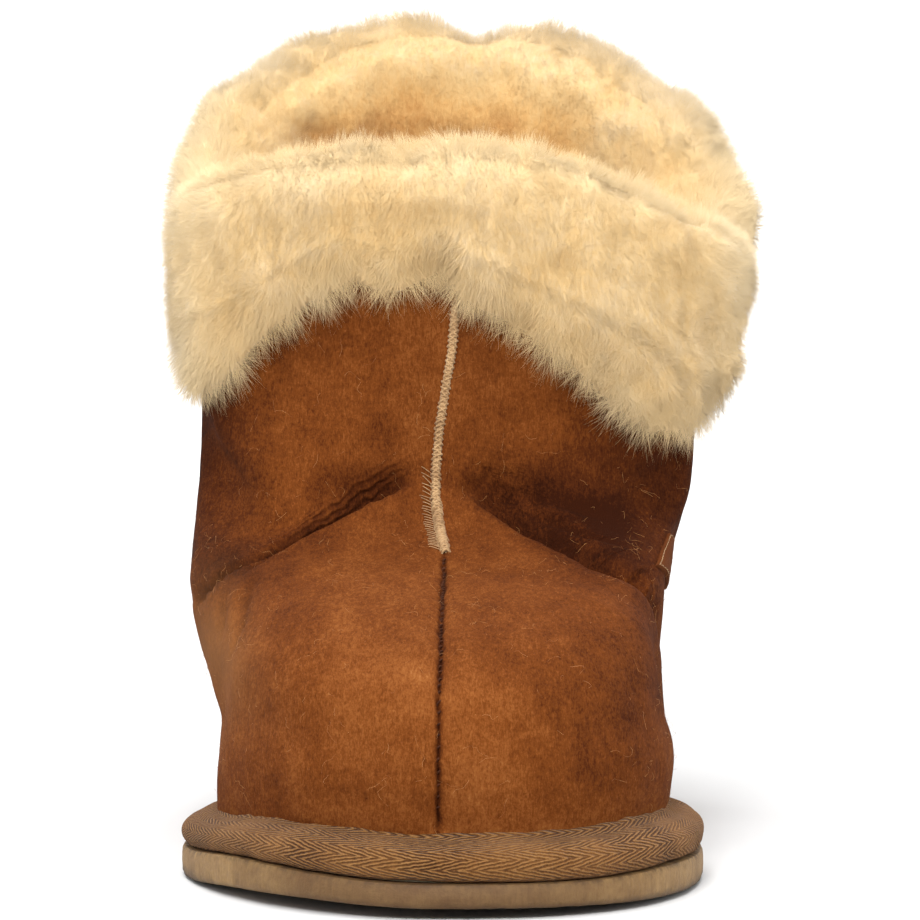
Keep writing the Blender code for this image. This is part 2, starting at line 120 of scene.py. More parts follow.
# Sections of the last, from the feather edge at the sole to the hide's top edge. Y is counted
# from the middle of the sole's length. toe, back: x, y, z of the seam points. fore, mid, rear:
# y, outer reach, inner reach. round: exponents of the toe's two sides and of the heel.
# sag: how far the section dips at each side.
Level = namedtuple("Level", "name toe fore mid rear back round sag")
LEVELS = [
    Level("feather", (-0.2, -129, 0), (-46, -46.6, 47.0), (12, -37.5, 35.5),
          (97, -31.0, 38.0), (3.5, 129, 0), (1.8, 2.4, 2.3), (0, 0)),
    Level("bulge", (-0.2, -132, 24), (-44, -46.8, 48.6), (18, -43.5, 42.0),
          (97, -37.0, 44.5), (4.0, 133, 26), (1.9, 2.4, 2.3), (0, 0)),
    Level("wall", (-0.1, -131, 33.5), (-43, -45.2, 47.0), (14, -49.2, 45.4),
          (94, -42.0, 48.6), (4.2, 134.5, 38), (1.9, 2.3, 2.2), (0, 0)),
    Level("toe_edge", (0.0, -124, 43.5), (-43, -43.4, 45.0), (14, -53.0, 47.2),
          (90, -46.0, 50.0), (4.0, 134, 50), (2.0, 2.2, 2.2), (0, 0)),
    Level("toe_crown", (0.2, -110, 51), (-38, -39.5, 42.4), (17, -54.8, 48.6),
          (85, -49.0, 51.6), (3.5, 132.5, 61), (2.0, 2.1, 2.2), (0, 0)),
    Level("vamp_front", (0.4, -88, 56.2), (-30, -36.0, 38.5), (22, -54.8, 50.3),
          (80, -51.0, 53.0), (3.0, 130.5, 69), (2.0, 2.0, 2.2), (0, 0)),
    Level("vamp", (0.6, -60, 60), (-17, -33.0, 35.0), (26, -54.5, 51.6),
          (76, -52.0, 53.8), (2.6, 128.5, 76), (2.0, 2.0, 2.1), (0, 0)),
    Level("vamp_back", (0.7, -34, 63.3), (-4, -32.0, 33.0), (30, -54.3, 52.5),
          (73, -52.6, 54.4), (2.4, 126.5, 82.5), (2.0, 2.0, 2.1), (0, 0)),
    Level("instep", (0.4, -13, 68), (8, -34.0, 34.0), (33, -54.1, 53.4),
          (71, -53.0, 54.8), (2.2, 124.7, 89), (2.0, 2.0, 2.0), (0, 0)),
    Level("throat", (-0.4, 1.5, 75.5), (18, -39.0, 39.0), (40, -54.0, 54.4),
          (70, -53.4, 55.4), (2.2, 123, 96), (2.0, 2.0, 2.0), (0, 0)),
    Level("ankle", (-0.8, 6.5, 84), (30, -48.0, 49.0), (50, -53.8, 55.4),
          (70, -53.2, 55.6), (2.4, 121.5, 103), (2.0, 2.0, 2.0), (0, 0)),
    Level("shaft_low", (-0.2, 9, 95), (42, -52.6, 54.2), (54, -53.6, 56.0),
          (69, -52.8, 55.6), (2.8, 120.5, 114), (2.0, 2.0, 2.0), (1, 2)),
    Level("shaft", (1.8, 11.5, 108), (45, -52.8, 55.8), (55, -53.2, 57.0),
          (70, -52.6, 57.0), (3.4, 120, 128), (2.0, 2.0, 2.0), (5, 7)),
    Level("collar", (2.9, 14, 122), (46, -52.0, 57.4), (56, -52.6, 59.2),
          (71, -52.6, 59.4), (4.0, 121.5, 148), (2.0, 2.0, 2.0), (12, 19)),
    Level("top_edge", (3.4, 17, 140), (47, -51.5, 59.5), (58, -52.6, 61.4),
          (72, -52.4, 61.0), (4.5, 122, 169.5), (2.0, 2.0, 2.0), (20, 31)),
]
BALL_Y = -42              # the ball's tread, from the middle of the sole's length
SAG_CENTRE, SAG_SPREAD = 60, 32
TOP = len(LEVELS) - 1
WALL = 2.5
DECK = 13.6               # the feather edge stands on the platform at this height
TOE_SPRING, OUTER_CORNER_LIFT, ARCH_LIFT = 2.0, 1.3, 1.0


def smooth(value, start, end):
    """0 before start, 1 after end, and an even S between them."""
    part = np.clip((value - start) / (end - start), 0, 1)
    return part * part * (3 - 2 * part)


def lift(x, y):
    """How far the sole rises off the floor: toe spring, outer corner and arch."""
    toe = TOE_SPRING * np.maximum(0, (-y - 64) / 72) ** 1.5
    corner = OUTER_CORNER_LIFT * smooth(-x, 0, 36) * smooth(-y, 60, 100)
    return toe + corner + ARCH_LIFT * smooth(y, -14, 20) * (1 - smooth(y, 46, 74))


def curve_through(a, b, c, d, part):
    """A place between b and c on the smooth curve through four points."""
    return b + 0.5 * part * (c - a + part * (2 * a - 5 * b + 4 * c - d + part * (3 * (b - c) + d - a)))


def level_at(height):
    """The section at a level number, with a smooth curve through the rows of LEVELS."""
    low = min(int(height), TOP - 1)
    part = height - low
    rows = [LEVELS[min(max(low + k, 0), TOP)] for k in (-1, 0, 1, 2)]
    columns = [[np.array(row[column], float) for row in rows] for column in range(1, len(Level._fields))]
    return Level("", *(curve_through(*column, part) for column in columns))


def half_section(level, stretch, part, side):
    """Points of a section on one side: 1 is the outer side, 2 the inner one."""
    turn = part * math.pi / 2
    toe_y, back_y, fore_y, rear_y = level.toe[1], level.back[1], level.fore[0], level.rear[0]
    y = np.choose(stretch, [toe_y + (fore_y - toe_y) * (1 - np.cos(turn)),
                            fore_y + (rear_y - fore_y) * part,
                            rear_y + (back_y - rear_y) * np.sin(turn)])
    fore, mid, rear = level.fore[side], level.mid[side], level.rear[side]
    run = fore_y - toe_y
    waisted = abs(mid) < abs(fore)
    widen = smooth(y, toe_y + (0.85 if waisted else 0.45) * run, level.mid[0])
    reach = fore + (mid - fore) * widen + (rear - mid) * smooth(y, level.mid[0], rear_y + 12)
    ahead = np.clip((fore_y - y) / run, 0, 1)
    behind = np.clip((y - rear_y) / (back_y - rear_y), 0, 1)
    power, heel = level.round[side - 1], level.round[2]
    closing = (1 - ahead ** power) ** (1 / power) * (1 - behind ** heel) ** (1 / heel)
    along = (y - toe_y) / (back_y - toe_y)
    x = level.toe[0] + (level.back[0] - level.toe[0]) * along
    x = x + (reach - x) * closing
    z = level.toe[2] + (level.back[2] - level.toe[2]) * along
    z = z - level.sag[side - 1] * closing * np.exp(-((y - SAG_CENTRE) / SAG_SPREAD) ** 2)
    return np.stack([x, y, z], axis=1)


# Columns run from the toe seam over the outer side to the back seam, and back along the inner
# side. They crowd together at the toe seam, where the hide dips into the stitching.
seam_parts = [0, 0.004, 0.009, 0.015, 0.022, 0.031, 0.043, 0.058]
toe_parts = seam_parts + list(np.linspace(0.076, 1, 60)[:-1])
side_parts = list(np.linspace(0, 1, 35)[:-1])
heel_parts = list(np.linspace(0, 1, 31)[:-1])
STRETCH = np.array([0] * len(toe_parts) + [1] * len(side_parts) + [2] * len(heel_parts))
PART = np.array(toe_parts + side_parts + heel_parts)
HALF = len(PART)


def section(height):
    """All columns of the last's surface at a level number, in the frame's place, in mm."""
    level = level_at(height)
    outer = half_section(level, STRETCH, PART, 1)
    inner = half_section(level, STRETCH[1:], PART[1:], 2)[::-1]
    points = np.concatenate([outer, [level.back], inner])
    fade = max(0.0, 1 - height)
    points[:, 2] += fade * (DECK + lift(points[:, 0], points[:, 1]) * (height < 1))
    points[:, 1] -= BALL_Y
    return points


def grid_normals(grid):
    """Outward unit normals of a stack of closed rings."""
    around = np.roll(grid, -1, axis=1) - np.roll(grid, 1, axis=1)
    up = np.gradient(grid, axis=0)
    normals = np.cross(up, around)
    return normals / np.linalg.norm(normals, axis=2, keepdims=True)


def noise_over(points, size, shift=(0, 0, 0)):
    """Noise of a size, in mm, at each of the points."""
    numbers = [noise.noise(Vector(point) / size + Vector(shift)) for point in points.reshape(-1, 3)]
    return np.array(numbers).reshape(points.shape[:-1])


def laid_on(line, points):
    """A denser copy of a line, each of its points moved to the nearest of the surface's points."""
    line, points = np.array(line, float), points.reshape(-1, 3)
    fine = [start + part * (end - start)
            for start, end in zip(line, line[1:]) for part in (0, 0.25, 0.5, 0.75)]
    return [points[np.argmin(((points - place) ** 2).sum(axis=1))] for place in fine + [line[-1]]]


def near_line(points, line):
    """Each point's distance from a line, height above the nearest place on it, and place along it."""
    best = np.full(points.shape[:-1], 1e9)
    above = np.zeros(points.shape[:-1])
    along = np.zeros(points.shape[:-1])
    for k, (start, end) in enumerate(zip(line, line[1:])):
        start, end = np.array(start, float), np.array(end, float)
        run = end - start
        part = np.clip(((points - start) @ run) / (run @ run), 0, 1)
        foot = start + part[..., None] * run
        gap = np.linalg.norm(points - foot, axis=-1)
        nearer = gap < best
        best = np.where(nearer, gap, best)
        above = np.where(nearer, points[..., 2] - foot[..., 2], above)
        along = np.where(nearer, (k + part) / (len(line) - 1), along)
    return best, above, along


# Folds of the hide. line: x, y, z near the fold's floor, and how far the hide above it hangs
# forward over it. depth: its trough. below, above: half widths of the trough's lower lip and of
# its upper slope. reach: how far up the overhang is felt. ends: how softly it starts and stops.
Fold = namedtuple("Fold", "line depth below above reach ends")
FOLDS = [
    Fold([(-2, 50, 79.5, 0), (-9, 48, 76.8, 1), (-16, 45.6, 73.2, 3), (-24, 40, 68.4, 6), (-32.5, 34, 64, 9),
          (-40.6, 24, 60, 11), (-49, 25, 55.6, 9), (-53, 38, 53.5, 6), (-56, 60, 52, 0)],
         3.4, 1.3, 3.2, 40, (0.20, 0.3)),
    Fold([(3, 52, 78, 0), (8, 50, 74.5, 0), (15, 44, 70, 0), (21, 37, 67, 0), (26, 30, 65, 0),
          (31, 22, 62, 0), (37, 12, 58, 0), (43, 12, 51, 0), (49, 24, 45, 0), (51, 40, 42, 0)],
         6.0, 3.6, 6.5, 20, (0.18, 0.16)),
    Fold([(-24, 41, 67.5, 0), (-31, 33, 63, 0), (-37.7, 20, 60, 0), (-42, 12, 57, 0)],
         1.3, 0.9, 1.4, 8, (0.3, 0.4)),
    Fold([(-37.5, 11.6, 58.5, 0), (-39.6, 0, 54.6, 0), (-41.6, -14.8, 49.4, 0), (-42.4, -24.5, 44, 0)],
         1.6, 1.6, 2.8, 8, (0.3, 0.4)),
    Fold([(-44, 14, 57, 0), (-46, 4, 52, 0), (-46, -6, 46, 0)], 0.9, 1.4, 2.2, 8, (0.3, 0.4)),
    Fold([(12.6, 48.5, 79.5, 0), (21, 47, 75.3, 0), (30, 46, 72.2, 0), (38.5, 47, 69, 0)],
         1.8, 2.0, 4.5, 12, (0.3, 0.5)),
    Fold([(16, 47, 76, 0), (24, 42, 71, 0), (32, 36, 66, 0), (40, 30, 60, 0)],
         1.1, 1.0, 1.6, 8, (0.3, 0.4)),
]
LEFT_FOLD, RIGHT_FOLD = FOLDS[:2]       # the hide above them is wrinkled and puckered
HANG_DROP = 0.15                        # how far the hide above a fold sinks, for each mm forward
CRUMPLE_HEIGHT, CRUMPLE_SIZE = 0.35, 3.2
OUTER_SETTLING = 1.8                    # how far the feather edge sinks at the outer side

# Broad dents of the soft hide: x, y, z of the middle, depth and reach.
Dent = namedtuple("Dent", "x y z depth reach")
DENTS = [
    Dent(38, 12, 58, 2.0, 9), Dent(-46, -8, 36, 1.6, 14), Dent(45, -8, 37, 2.4, 12),
    Dent(50, 62, 66, 1.2, 12), Dent(56, 74, 84, -1.4, 24),
]

LEVEL_ROWS = [(0, 4, 8), (4, 8, 18), (8, 11, 16), (11, TOP, 7)]      # from, to, rows in each level
hide_heights = np.array([low + k / rows for low, high, rows in LEVEL_ROWS
                         for k in range((high - low) * rows)] + [TOP])
last_grid = np.array([section(height) for height in hide_heights])
last_normals = grid_normals(last_grid)

moved = np.zeros(last_grid.shape[:2])
forward = np.zeros(last_grid.shape[:2])
creased = np.zeros(last_grid.shape[:2])
for fold in FOLDS:
    gap, above, along = near_line(last_grid, laid_on([place[:3] for place in fold.line], last_grid))
    fade = smooth(along, 0, fold.ends[0]) * (1 - smooth(along, 1 - fold.ends[1], 1))
    width = fold.below + (fold.above - fold.below) * smooth(above, -0.5, 1.5)
    if fold in (LEFT_FOLD, RIGHT_FOLD):
        upward = np.where(above > 0, gap, -gap)
        beside = fade * smooth(upward, -0.5, 1.2) * (1 - smooth(upward, fold.above, 2.4 * fold.above))
        if fold is LEFT_FOLD:
            wrinkled, over_fold = beside * (1 - smooth(along, 0.35, 0.6)), upward
        else:
            puckered = beside
    trough = fade * np.exp(-(gap / width) ** 2)
    moved -= fold.depth * trough
    creased = np.maximum(creased, np.minimum(fold.depth / 3, 1) * trough)
    line_x, line_y, line_z, line_hang = np.array(sorted(fold.line)).T
    if line_hang.any():
        height = last_grid[..., 2] - np.interp(last_grid[..., 0], line_x, line_z)
        behind = last_grid[..., 1] - np.interp(last_grid[..., 0], line_x, line_y)
        hang = np.interp(last_grid[..., 0], line_x, line_hang, 0, 0)
        hang = hang * smooth(height, -1, 11) * (1 - smooth(height, 12, fold.reach))
        forward += hang * smooth(behind, -12, 0) * (1 - smooth(behind, 30, 60))
for dent in DENTS:
    far = np.linalg.norm(last_grid - np.array([dent.x, dent.y, dent.z]), axis=2)
    moved -= dent.depth * np.exp(-(far / dent.reach) ** 2)
moved += CRUMPLE_HEIGHT * noise_over(last_grid, CRUMPLE_SIZE) * smooth(creased, 0.05, 0.5)

# Slow dents and swellings of the soft hide, then the dip at the middle seam of the toe.
for size, height in ((42, 1.1), (19, 0.45), (8, 0.16)):
    moved += height * noise_over(last_grid, size, (3, 1, 7))
seam = last_grid[:, :1]
wander, bumps = noise_over(seam, 4), noise_over(seam, 1.1)
off_seam = np.abs(last_grid[:, :, 0] - seam[..., 0] - 0.5 * wander)
front = np.zeros(last_grid.shape[1], bool)
front[:HALF // 2] = front[-HALF // 2:] = True
closed_toe = 1 - smooth(hide_heights, 6.9, 7.7)[:, None]
dip = (1.2 + 0.5 * bumps) * np.exp(-(off_seam / (0.5 + 0.25 * bumps)) ** 2)
dip = dip + 0.9 * np.exp(-(off_seam / 2.6) ** 2)
moved -= np.where(front, dip, 0) * closed_toe
moved *= smooth(hide_heights, 0, 0.25)[:, None]
hide_grid = last_grid + last_normals * moved[..., None]
hide_grid[..., 1] -= forward
hide_grid[..., 2] -= HANG_DROP * forward
near_sole = 1 - smooth(hide_heights, 0, 1.6)[:, None]
hide_grid[..., 2] -= OUTER_SETTLING * smooth(-hide_grid[..., 0], 22, 42) * near_sole
hide_normals = grid_normals(hide_grid)


def grid_mesh(name, grids, close_stack=False, smooth_angle=60):
    """A mesh of closed rings, in mm, with its faces pointing out. Further grids are joined below."""
    rings = [ring for grid in grids for ring in grid]
    count = len(rings[0])
    columns = np.arange(count)
    nexts = (columns + 1) % count
    faces = []
    for low in range(len(rings) if close_stack else len(rings) - 1):
        high = (low + 1) % len(rings)
        faces.append(np.stack([low * count + columns, high * count + columns,
                               high * count + nexts, low * count + nexts], axis=1))
    mesh = bpy.data.meshes.new(name)
    mesh.from_pydata((np.concatenate(rings) * MM).tolist(), [], np.concatenate(faces).tolist())
    mesh.shade_smooth()
    mesh.set_sharp_from_angle(angle=math.radians(smooth_angle))
    return mesh


def with_values(mesh, values):
    """Stores values on a mesh, a number or a vector for each of its points."""
    for name, numbers in values.items():
        numbers = np.array(numbers, np.float32).reshape(-1)
        kind, field = ("FLOAT", "value") if len(numbers) == len(mesh.vertices) else ("FLOAT_VECTOR", "vector")
        mesh.attributes.new(name, kind, "POINT").data.foreach_set(field, numbers)
    return mesh


def add_piece(name, mesh, material, slot_name, *stands_for):
    """Puts a finished mesh into the scene as a piece of the slipper's one body."""
    piece = bpy.data.objects.new(name, mesh)
    bpy.context.scene.collection.objects.link(piece)
    mesh.materials.clear()
    mesh.materials.append(material)
    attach(piece, "root")
    if stands_for:
        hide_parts(*stands_for)
    return piece


class Wire:
    """An output in a node tree. Arithmetic on it adds Math nodes."""

    def __init__(self, tree, socket=None):
        self.tree, self.socket = tree, socket

    def add(self, kind, settings=(), sockets=(), out=0):
        """Adds any node: first its settings, then the values or links of its sockets."""
        made = self.tree.nodes.new(kind)
        for key, value in dict(settings).items():
            if key == "stops":
                elements = made.color_ramp.elements
                while len(elements) < len(value):
                    elements.new(1)
                for element, (place, colour) in zip(elements, value):
                    element.position, element.color = place, colour
            else:
                setattr(made, key, value)
        for key, value in dict(sockets).items():
            if isinstance(value, Wire):
                self.tree.links.new(value.socket, made.inputs[key])
            else:
                made.inputs[key].default_value = value
        return Wire(self.tree, made.outputs[out])

    def math(self, operation, a, b=0.0):
        """A Math node on wires or numbers."""
        return self.add("ShaderNodeMath", {"operation": operation}, {0: a, 1: b})

    def __add__(self, other):
        return self.math("ADD", self, other)

    __radd__ = __add__

    def __sub__(self, other):
        return self.math("SUBTRACT", self, other)

    def __rsub__(self, other):
        return self.math("SUBTRACT", other, self)

    def __mul__(self, other):
        return self.math("MULTIPLY", self, other)

    __rmul__ = __mul__

    def __truediv__(self, other):
        return self.math("DIVIDE", self, other)

    def between(self, start, end):
        """0 below start and 1 above end, with a smooth step between them."""
        return self.add("ShaderNodeMapRange", {"interpolation_type": "SMOOTHSTEP"},
                        {"Value": self, "From Min": start, "From Max": end})

    def blend(self, first, second, mode="MIX"):
        """A mix of two colours, with this value as the factor."""
        return self.add("ShaderNodeMix", {"data_type": "RGBA", "blend_type": mode},
                        {0: self, 6: first, 7: second}, out=2)


def rgb(red, green, blue):
    """A display colour, 0 to 255, as the linear colour that the shader takes."""
    linear = [((v / 255 + 0.055) / 1.055) ** 2.4 if v > 10 else v / 3295 for v in (red, green, blue)]
    return (*linear, 1.0)


def new_material(name, roughness=0.9, sheen=0.0, specular=0.3):
    """A material, its Principled shader, a Wire to build its tree with, and places on the piece."""
    made = bpy.data.materials.new(name)
    made.use_nodes = True
    shader = made.node_tree.nodes["Principled BSDF"]
    shader.inputs["Roughness"].default_value = roughness
    shader.inputs["Specular IOR Level"].default_value = specular
    shader.inputs["Sheen Weight"].default_value = sheen
    shader.inputs["Sheen Roughness"].default_value = 0.5
    wire = Wire(made.node_tree)
    return made, shader, wire, wire.add("ShaderNodeTexCoord", out=3)


def put(wire, shader, name):
    """Links a wire to a socket of the shader."""
    wire.tree.links.new(wire.socket, shader.inputs[name])


def bump(height, strength, depth, over=None):
    """Normals of a relief: its height, how strong it is, its depth in metres, and what it lies over."""
    sockets = {"Strength": strength, "Distance": depth, "Height": height}
    return height.add("ShaderNodeBump", {}, {**sockets, "Normal": over} if over else sockets)


def shades(level, *stops):
    """Display colours along a level: each stop is a place from 0 to 1 and a colour."""
    return level.add("ShaderNodeValToRGB", {"stops": [(stop[0], rgb(*stop[1:])) for stop in stops]},
                     {"Fac": level})


def stored(wire, name):
    """A value that is stored on the mesh."""
    return wire.add("ShaderNodeAttribute", {"attribute_name": name}, out=2)


def stretched(wire, place, scale, turn=(0, 0, 0)):
    """Places scaled and turned, so that a pattern on them is drawn out."""
    return wire.add("ShaderNodeMapping", {}, {"Vector": place, "Rotation": turn, "Scale": scale})


def grain(wire, place, scale, detail=3.0, roughness=0.55, distortion=0.0):
    """Noise of a size: scale is in waves per metre."""
    return wire.add("ShaderNodeTexNoise", {}, {"Vector": place, "Scale": scale, "Detail": detail,
                                               "Roughness": roughness, "Distortion": distortion})


suede, shader, wire, place = new_material("suede", roughness=0.95, specular=0.04)
brushed = stretched(wire, place, (1, 0.35, 0.9))
patches = grain(wire, brushed, 38, 5, 0.6, 0.5)
mottle = grain(wire, brushed, 150, 4, 0.6, 0.3)
nap = grain(wire, brushed, 1100, 3, 0.7)
fibre = grain(wire, brushed, 3000, 2, 0.6)
combed = stretched(wire, place, (1, 0.28, 0.28), (0.2, 0.35, 0))
strokes = grain(wire, combed, 2100, 3, 0.7, 1.2)
wrinkled_at, puckered_at = stored(wire, "wrinkled"), stored(wire, "puckered")
RIDGE_SPACING = 1.5
ridge_turn = stored(wire, "over_fold") * (1 / RIDGE_SPACING) + 2.0 * grain(wire, place, 160, 3, 0.6)
ridges = wire.math("SINE", ridge_turn * (2 * math.pi)) * 0.5 + 0.5
puckers = grain(wire, place, 420, 3, 0.6, 0.8)
wrinkles = wrinkled_at * (0.3 * ridges + 0.3 * puckers) + puckered_at * puckers
# The stored tone level carries painted light and shade. The wrinkled band above the left fold is painted
# darker with lighter ridge crests, and the puckered hollow gets a pebbled dark and light pattern: painted
# shade and highlight of wrinkles and puckers.
level = stored(wire, "tone") - wrinkled_at * (0.16 - 0.12 * ridges) + puckered_at * (0.5 * puckers - 0.26)
for pattern, strength in ((patches, 0.56), (mottle, 0.42), (nap, 0.5), (fibre, 0.3), (strokes, 0.65)):
    level = level + strength * (pattern - 0.5)
hide_colour = shades(level, (0.0, 44, 17, 5), (0.25, 71, 33, 11), (0.5, 100, 52, 19), (0.75, 126, 73, 33),
                     (1.0, 153, 102, 56))
# A lighter patch on the outer quarter: a painted highlight where the light catches that side.
put(stored(wire, "wear").blend(hide_colour, rgb(138, 96, 58)), shader, "Base Color")
relief = 0.5 * nap + 0.6 * strokes + 0.5 * mottle
put(bump(relief, 0.7, 0.0005, over=bump(wrinkles, 0.9, 0.0013)), shader, "Normal")

inner_grid = hide_grid - last_normals * WALL
inner_grid[0, :, 2] = hide_grid[0, :, 2]
inner_grid[-1, :, 2] = hide_grid[-1, :, 2]
inner_rows = list(range(0, len(inner_grid) - 1, 3)) + [len(inner_grid) - 1]
upper_mesh = grid_mesh("hide_upper", [hide_grid, inner_grid[inner_rows[::-1]]], close_stack=True)

# Tone of the hide, mostly painted light and shade: patches painted lighter where the light falls full,
# painted shade on the shaft's two sides, in the hollow beside the vamp, along the folds and low on
# the walls. x, z, reach across and up, and how much lighter or darker it is there.
ToneAndLightSpot = namedtuple("ToneAndLightSpot", "x z across up change")
TONE_AND_LIGHT_SPOTS = [
    ToneAndLightSpot(28, 28, 10, 8, -0.05), ToneAndLightSpot(-9, 40, 16, 12, 0.15), ToneAndLightSpot(-30, 58, 14, 9, -0.07),
    ToneAndLightSpot(-44, 46, 9, 12, 0.05), ToneAndLightSpot(24, 50, 16, 8, -0.02), ToneAndLightSpot(38, 30, 12, 16, -0.10),
    ToneAndLightSpot(-22, 92, 16, 9, -0.12), ToneAndLightSpot(-20, 78, 20, 5, -0.11), ToneAndLightSpot(30, 71, 15, 9, -0.34),
    ToneAndLightSpot(34, 90, 16, 12, -0.16), ToneAndLightSpot(-45, 62, 8, 5, -0.14), ToneAndLightSpot(14, 20, 20, 9, 0.03),
    ToneAndLightSpot(-54, 84, 12, 26, -0.38), ToneAndLightSpot(57, 80, 14, 30, -0.38), ToneAndLightSpot(0, 14, 60, 7, 0.06),
    ToneAndLightSpot(-32, 67, 9, 3.5, -0.14), ToneAndLightSpot(-43, 62, 8, 4, -0.12), ToneAndLightSpot(38, 65, 8, 6, -0.2),
    ToneAndLightSpot(36, 76, 12, 10, -0.08),
]
points = hide_grid.reshape(-1, 3)
tone_and_light = np.full(len(points), 0.5)
for spot in TONE_AND_LIGHT_SPOTS:
    tone_and_light += spot.change * np.exp(-((points[:, 0] - spot.x) / spot.across) ** 2
                                  - ((points[:, 2] - spot.z) / spot.up) ** 2)
# Painted shade: the hide is painted darker in the folds' troughs.
tone_and_light -= 0.3 * creased.reshape(-1)
in_dip = np.where(front, np.exp(-(off_seam / 0.55) ** 2), 0) * closed_toe * (0.9 + 0.8 * bumps)
tone_and_light -= 0.42 * in_dip.reshape(-1)
inner_count = len(inner_rows) * hide_grid.shape[1]
# Painted highlight on the outer quarter, at mid height.
quarter_highlights = 0.5 * np.exp(-((points[:, 0] + 48) / 9) ** 2 - ((points[:, 2] - 44) / 12) ** 2)
for name, numbers, inside in (("tone", tone_and_light, 0.5), ("wear", quarter_highlights, 0), ("wrinkled", wrinkled, 0),
                              ("puckered", puckered, 0), ("over_fold", over_fold, 9)):
    with_values(upper_mesh, {name: np.concatenate([numbers.reshape(-1), np.full(inner_count, inside)])})
hide_upper = add_piece("hide_upper", upper_mesh, suede, "suede", "upper")


# ---------------------------------------------------------------- sole
# A flat sheet of cream-brown foam, cut to the outline, glued under a foam platform. Its edge
# is cut by hand, so it waves a little, and it is darker along its bottom edge. Its face is
# painted lighter towards the sides, as painted light from the side.

FEATHER = section(0)
along_feather = np.roll(FEATHER, -1, axis=0) - np.roll(FEATHER, 1, axis=0)
FEATHER_OUT = np.stack([-along_feather[:, 1], along_feather[:, 0], 0 * along_feather[:, 0]], axis=1)
FEATHER_OUT /= np.linalg.norm(FEATHER_OUT, axis=1, keepdims=True)
OUTSOLE_THICKNESS, OUTSOLE_TIP_THINNING, HEEL_BEVEL = 6.4, 1.5, 0.9
EDGE_OVERHANG = 7.1
OUTER_SQUASH = 0.22       # how much lower the platform's edge is at the outer side


def sole_ring(offset, height, on_floor=False):
    """A ring that stands out from the feather edge by offset, height above the outsole's top."""
    points = FEATHER + FEATHER_OUT * offset
    x, y = points[:, 0], points[:, 1] + BALL_Y
    thinning = OUTSOLE_TIP_THINNING * smooth(-y, 96, 134)
    base = HEEL_BEVEL * smooth(y, 122, 136) * (height <= 0) if on_floor else OUTSOLE_THICKNESS - thinning
    if height > 0:
        height = height * (1 - OUTER_SQUASH * smooth(-x, 22, 42))
    points[:, 2] = base + height + lift(x, y)
    return points


def plate(name, rings, rounded):
    """A closed plate from rings, bottom to top, its faces filled across."""
    mesh = grid_mesh(name, [rings])
    bm = bmesh.new()
    bm.from_mesh(mesh)
    bm.verts.ensure_lookup_table()
    count = len(rings[0])
    half = count // 2
    for start in (0, len(bm.verts) - count):
        ring = [bm.verts[start + j] for j in range(count)]
        outer, inner = ring[:half + 1], [ring[0]] + ring[:half - 1:-1]
        strips = [(outer[0], outer[1], inner[1])]
        strips += [(outer[j], outer[j + 1], inner[j + 1], inner[j]) for j in range(1, half - 1)]
        strips.append((outer[half - 1], outer[half], inner[half - 1]))
        for strip in strips:
            bm.faces.new(strip)
    bmesh.ops.recalc_face_normals(bm, faces=bm.faces)
    bm.to_mesh(mesh)
    bm.free()
    mesh.shade_smooth()
    mesh.set_sharp_from_angle(angle=math.radians(rounded))
    return mesh


def fine_profile(profile, spacing):
    """Points on a smooth curve through a profile, about spacing apart."""
    points = np.array(profile, float)
    padded = np.vstack([2 * points[0] - points[1], points, 2 * points[-1] - points[-2]])
    fine = []
    for a, b, c, d in zip(padded, padded[1:], padded[2:], padded[3:]):
        steps = max(1, int(round(np.linalg.norm(c - b) / spacing)))
        for part in np.arange(steps) / steps:
            fine.append(curve_through(a, b, c, d, part))
    return np.array(fine + [points[-1]])


def lengths_along(line, closed=False):
    """Length travelled along a line, at each of its points."""
    line = np.vstack([line, line[:1]]) if closed else line
    return np.concatenate([[0], np.cumsum(np.linalg.norm(np.diff(line, axis=0), axis=1))])


def around_sole(spacing):
    """Column numbers with fractions, about spacing apart round the feather edge, and lengths."""
    travelled = lengths_along(FEATHER, closed=True)
    count = int(travelled[-1] / spacing)
    wanted = np.linspace(0, travelled[-1], count, endpoint=False)
    return np.interp(wanted, travelled, np.arange(len(travelled))), wanted, travelled[-1]


def at_columns(points, places):
    """Points of a closed ring at fractional column numbers."""
    low = places.astype(int) % len(points)
    part = (places - places.astype(int))[:, None]
    return points[low] * (1 - part) + points[(low + 1) % len(points)] * part


foam, shader, wire, place = new_material("sole_foam", roughness=0.7, specular=0.35)
high = wire.add("ShaderNodeSeparateXYZ", {}, {0: place}, out=2)
cells = grain(wire, place, 900, 4, 0.7)
stain = grain(wire, place, 60, 5, 0.6)
scuffs = grain(wire, stretched(wire, place, (1, 1, 3)), 240, 5, 0.65)
cuts = grain(wire, stretched(wire, place, (1, 1, 0.16)), 1100, 4, 0.75)
# Darker along the bottom edge, up to about 3 mm above the floor.
low_edge = 1 - (high + 0.0026 * (scuffs - 0.5)).between(0.0003, 0.003)
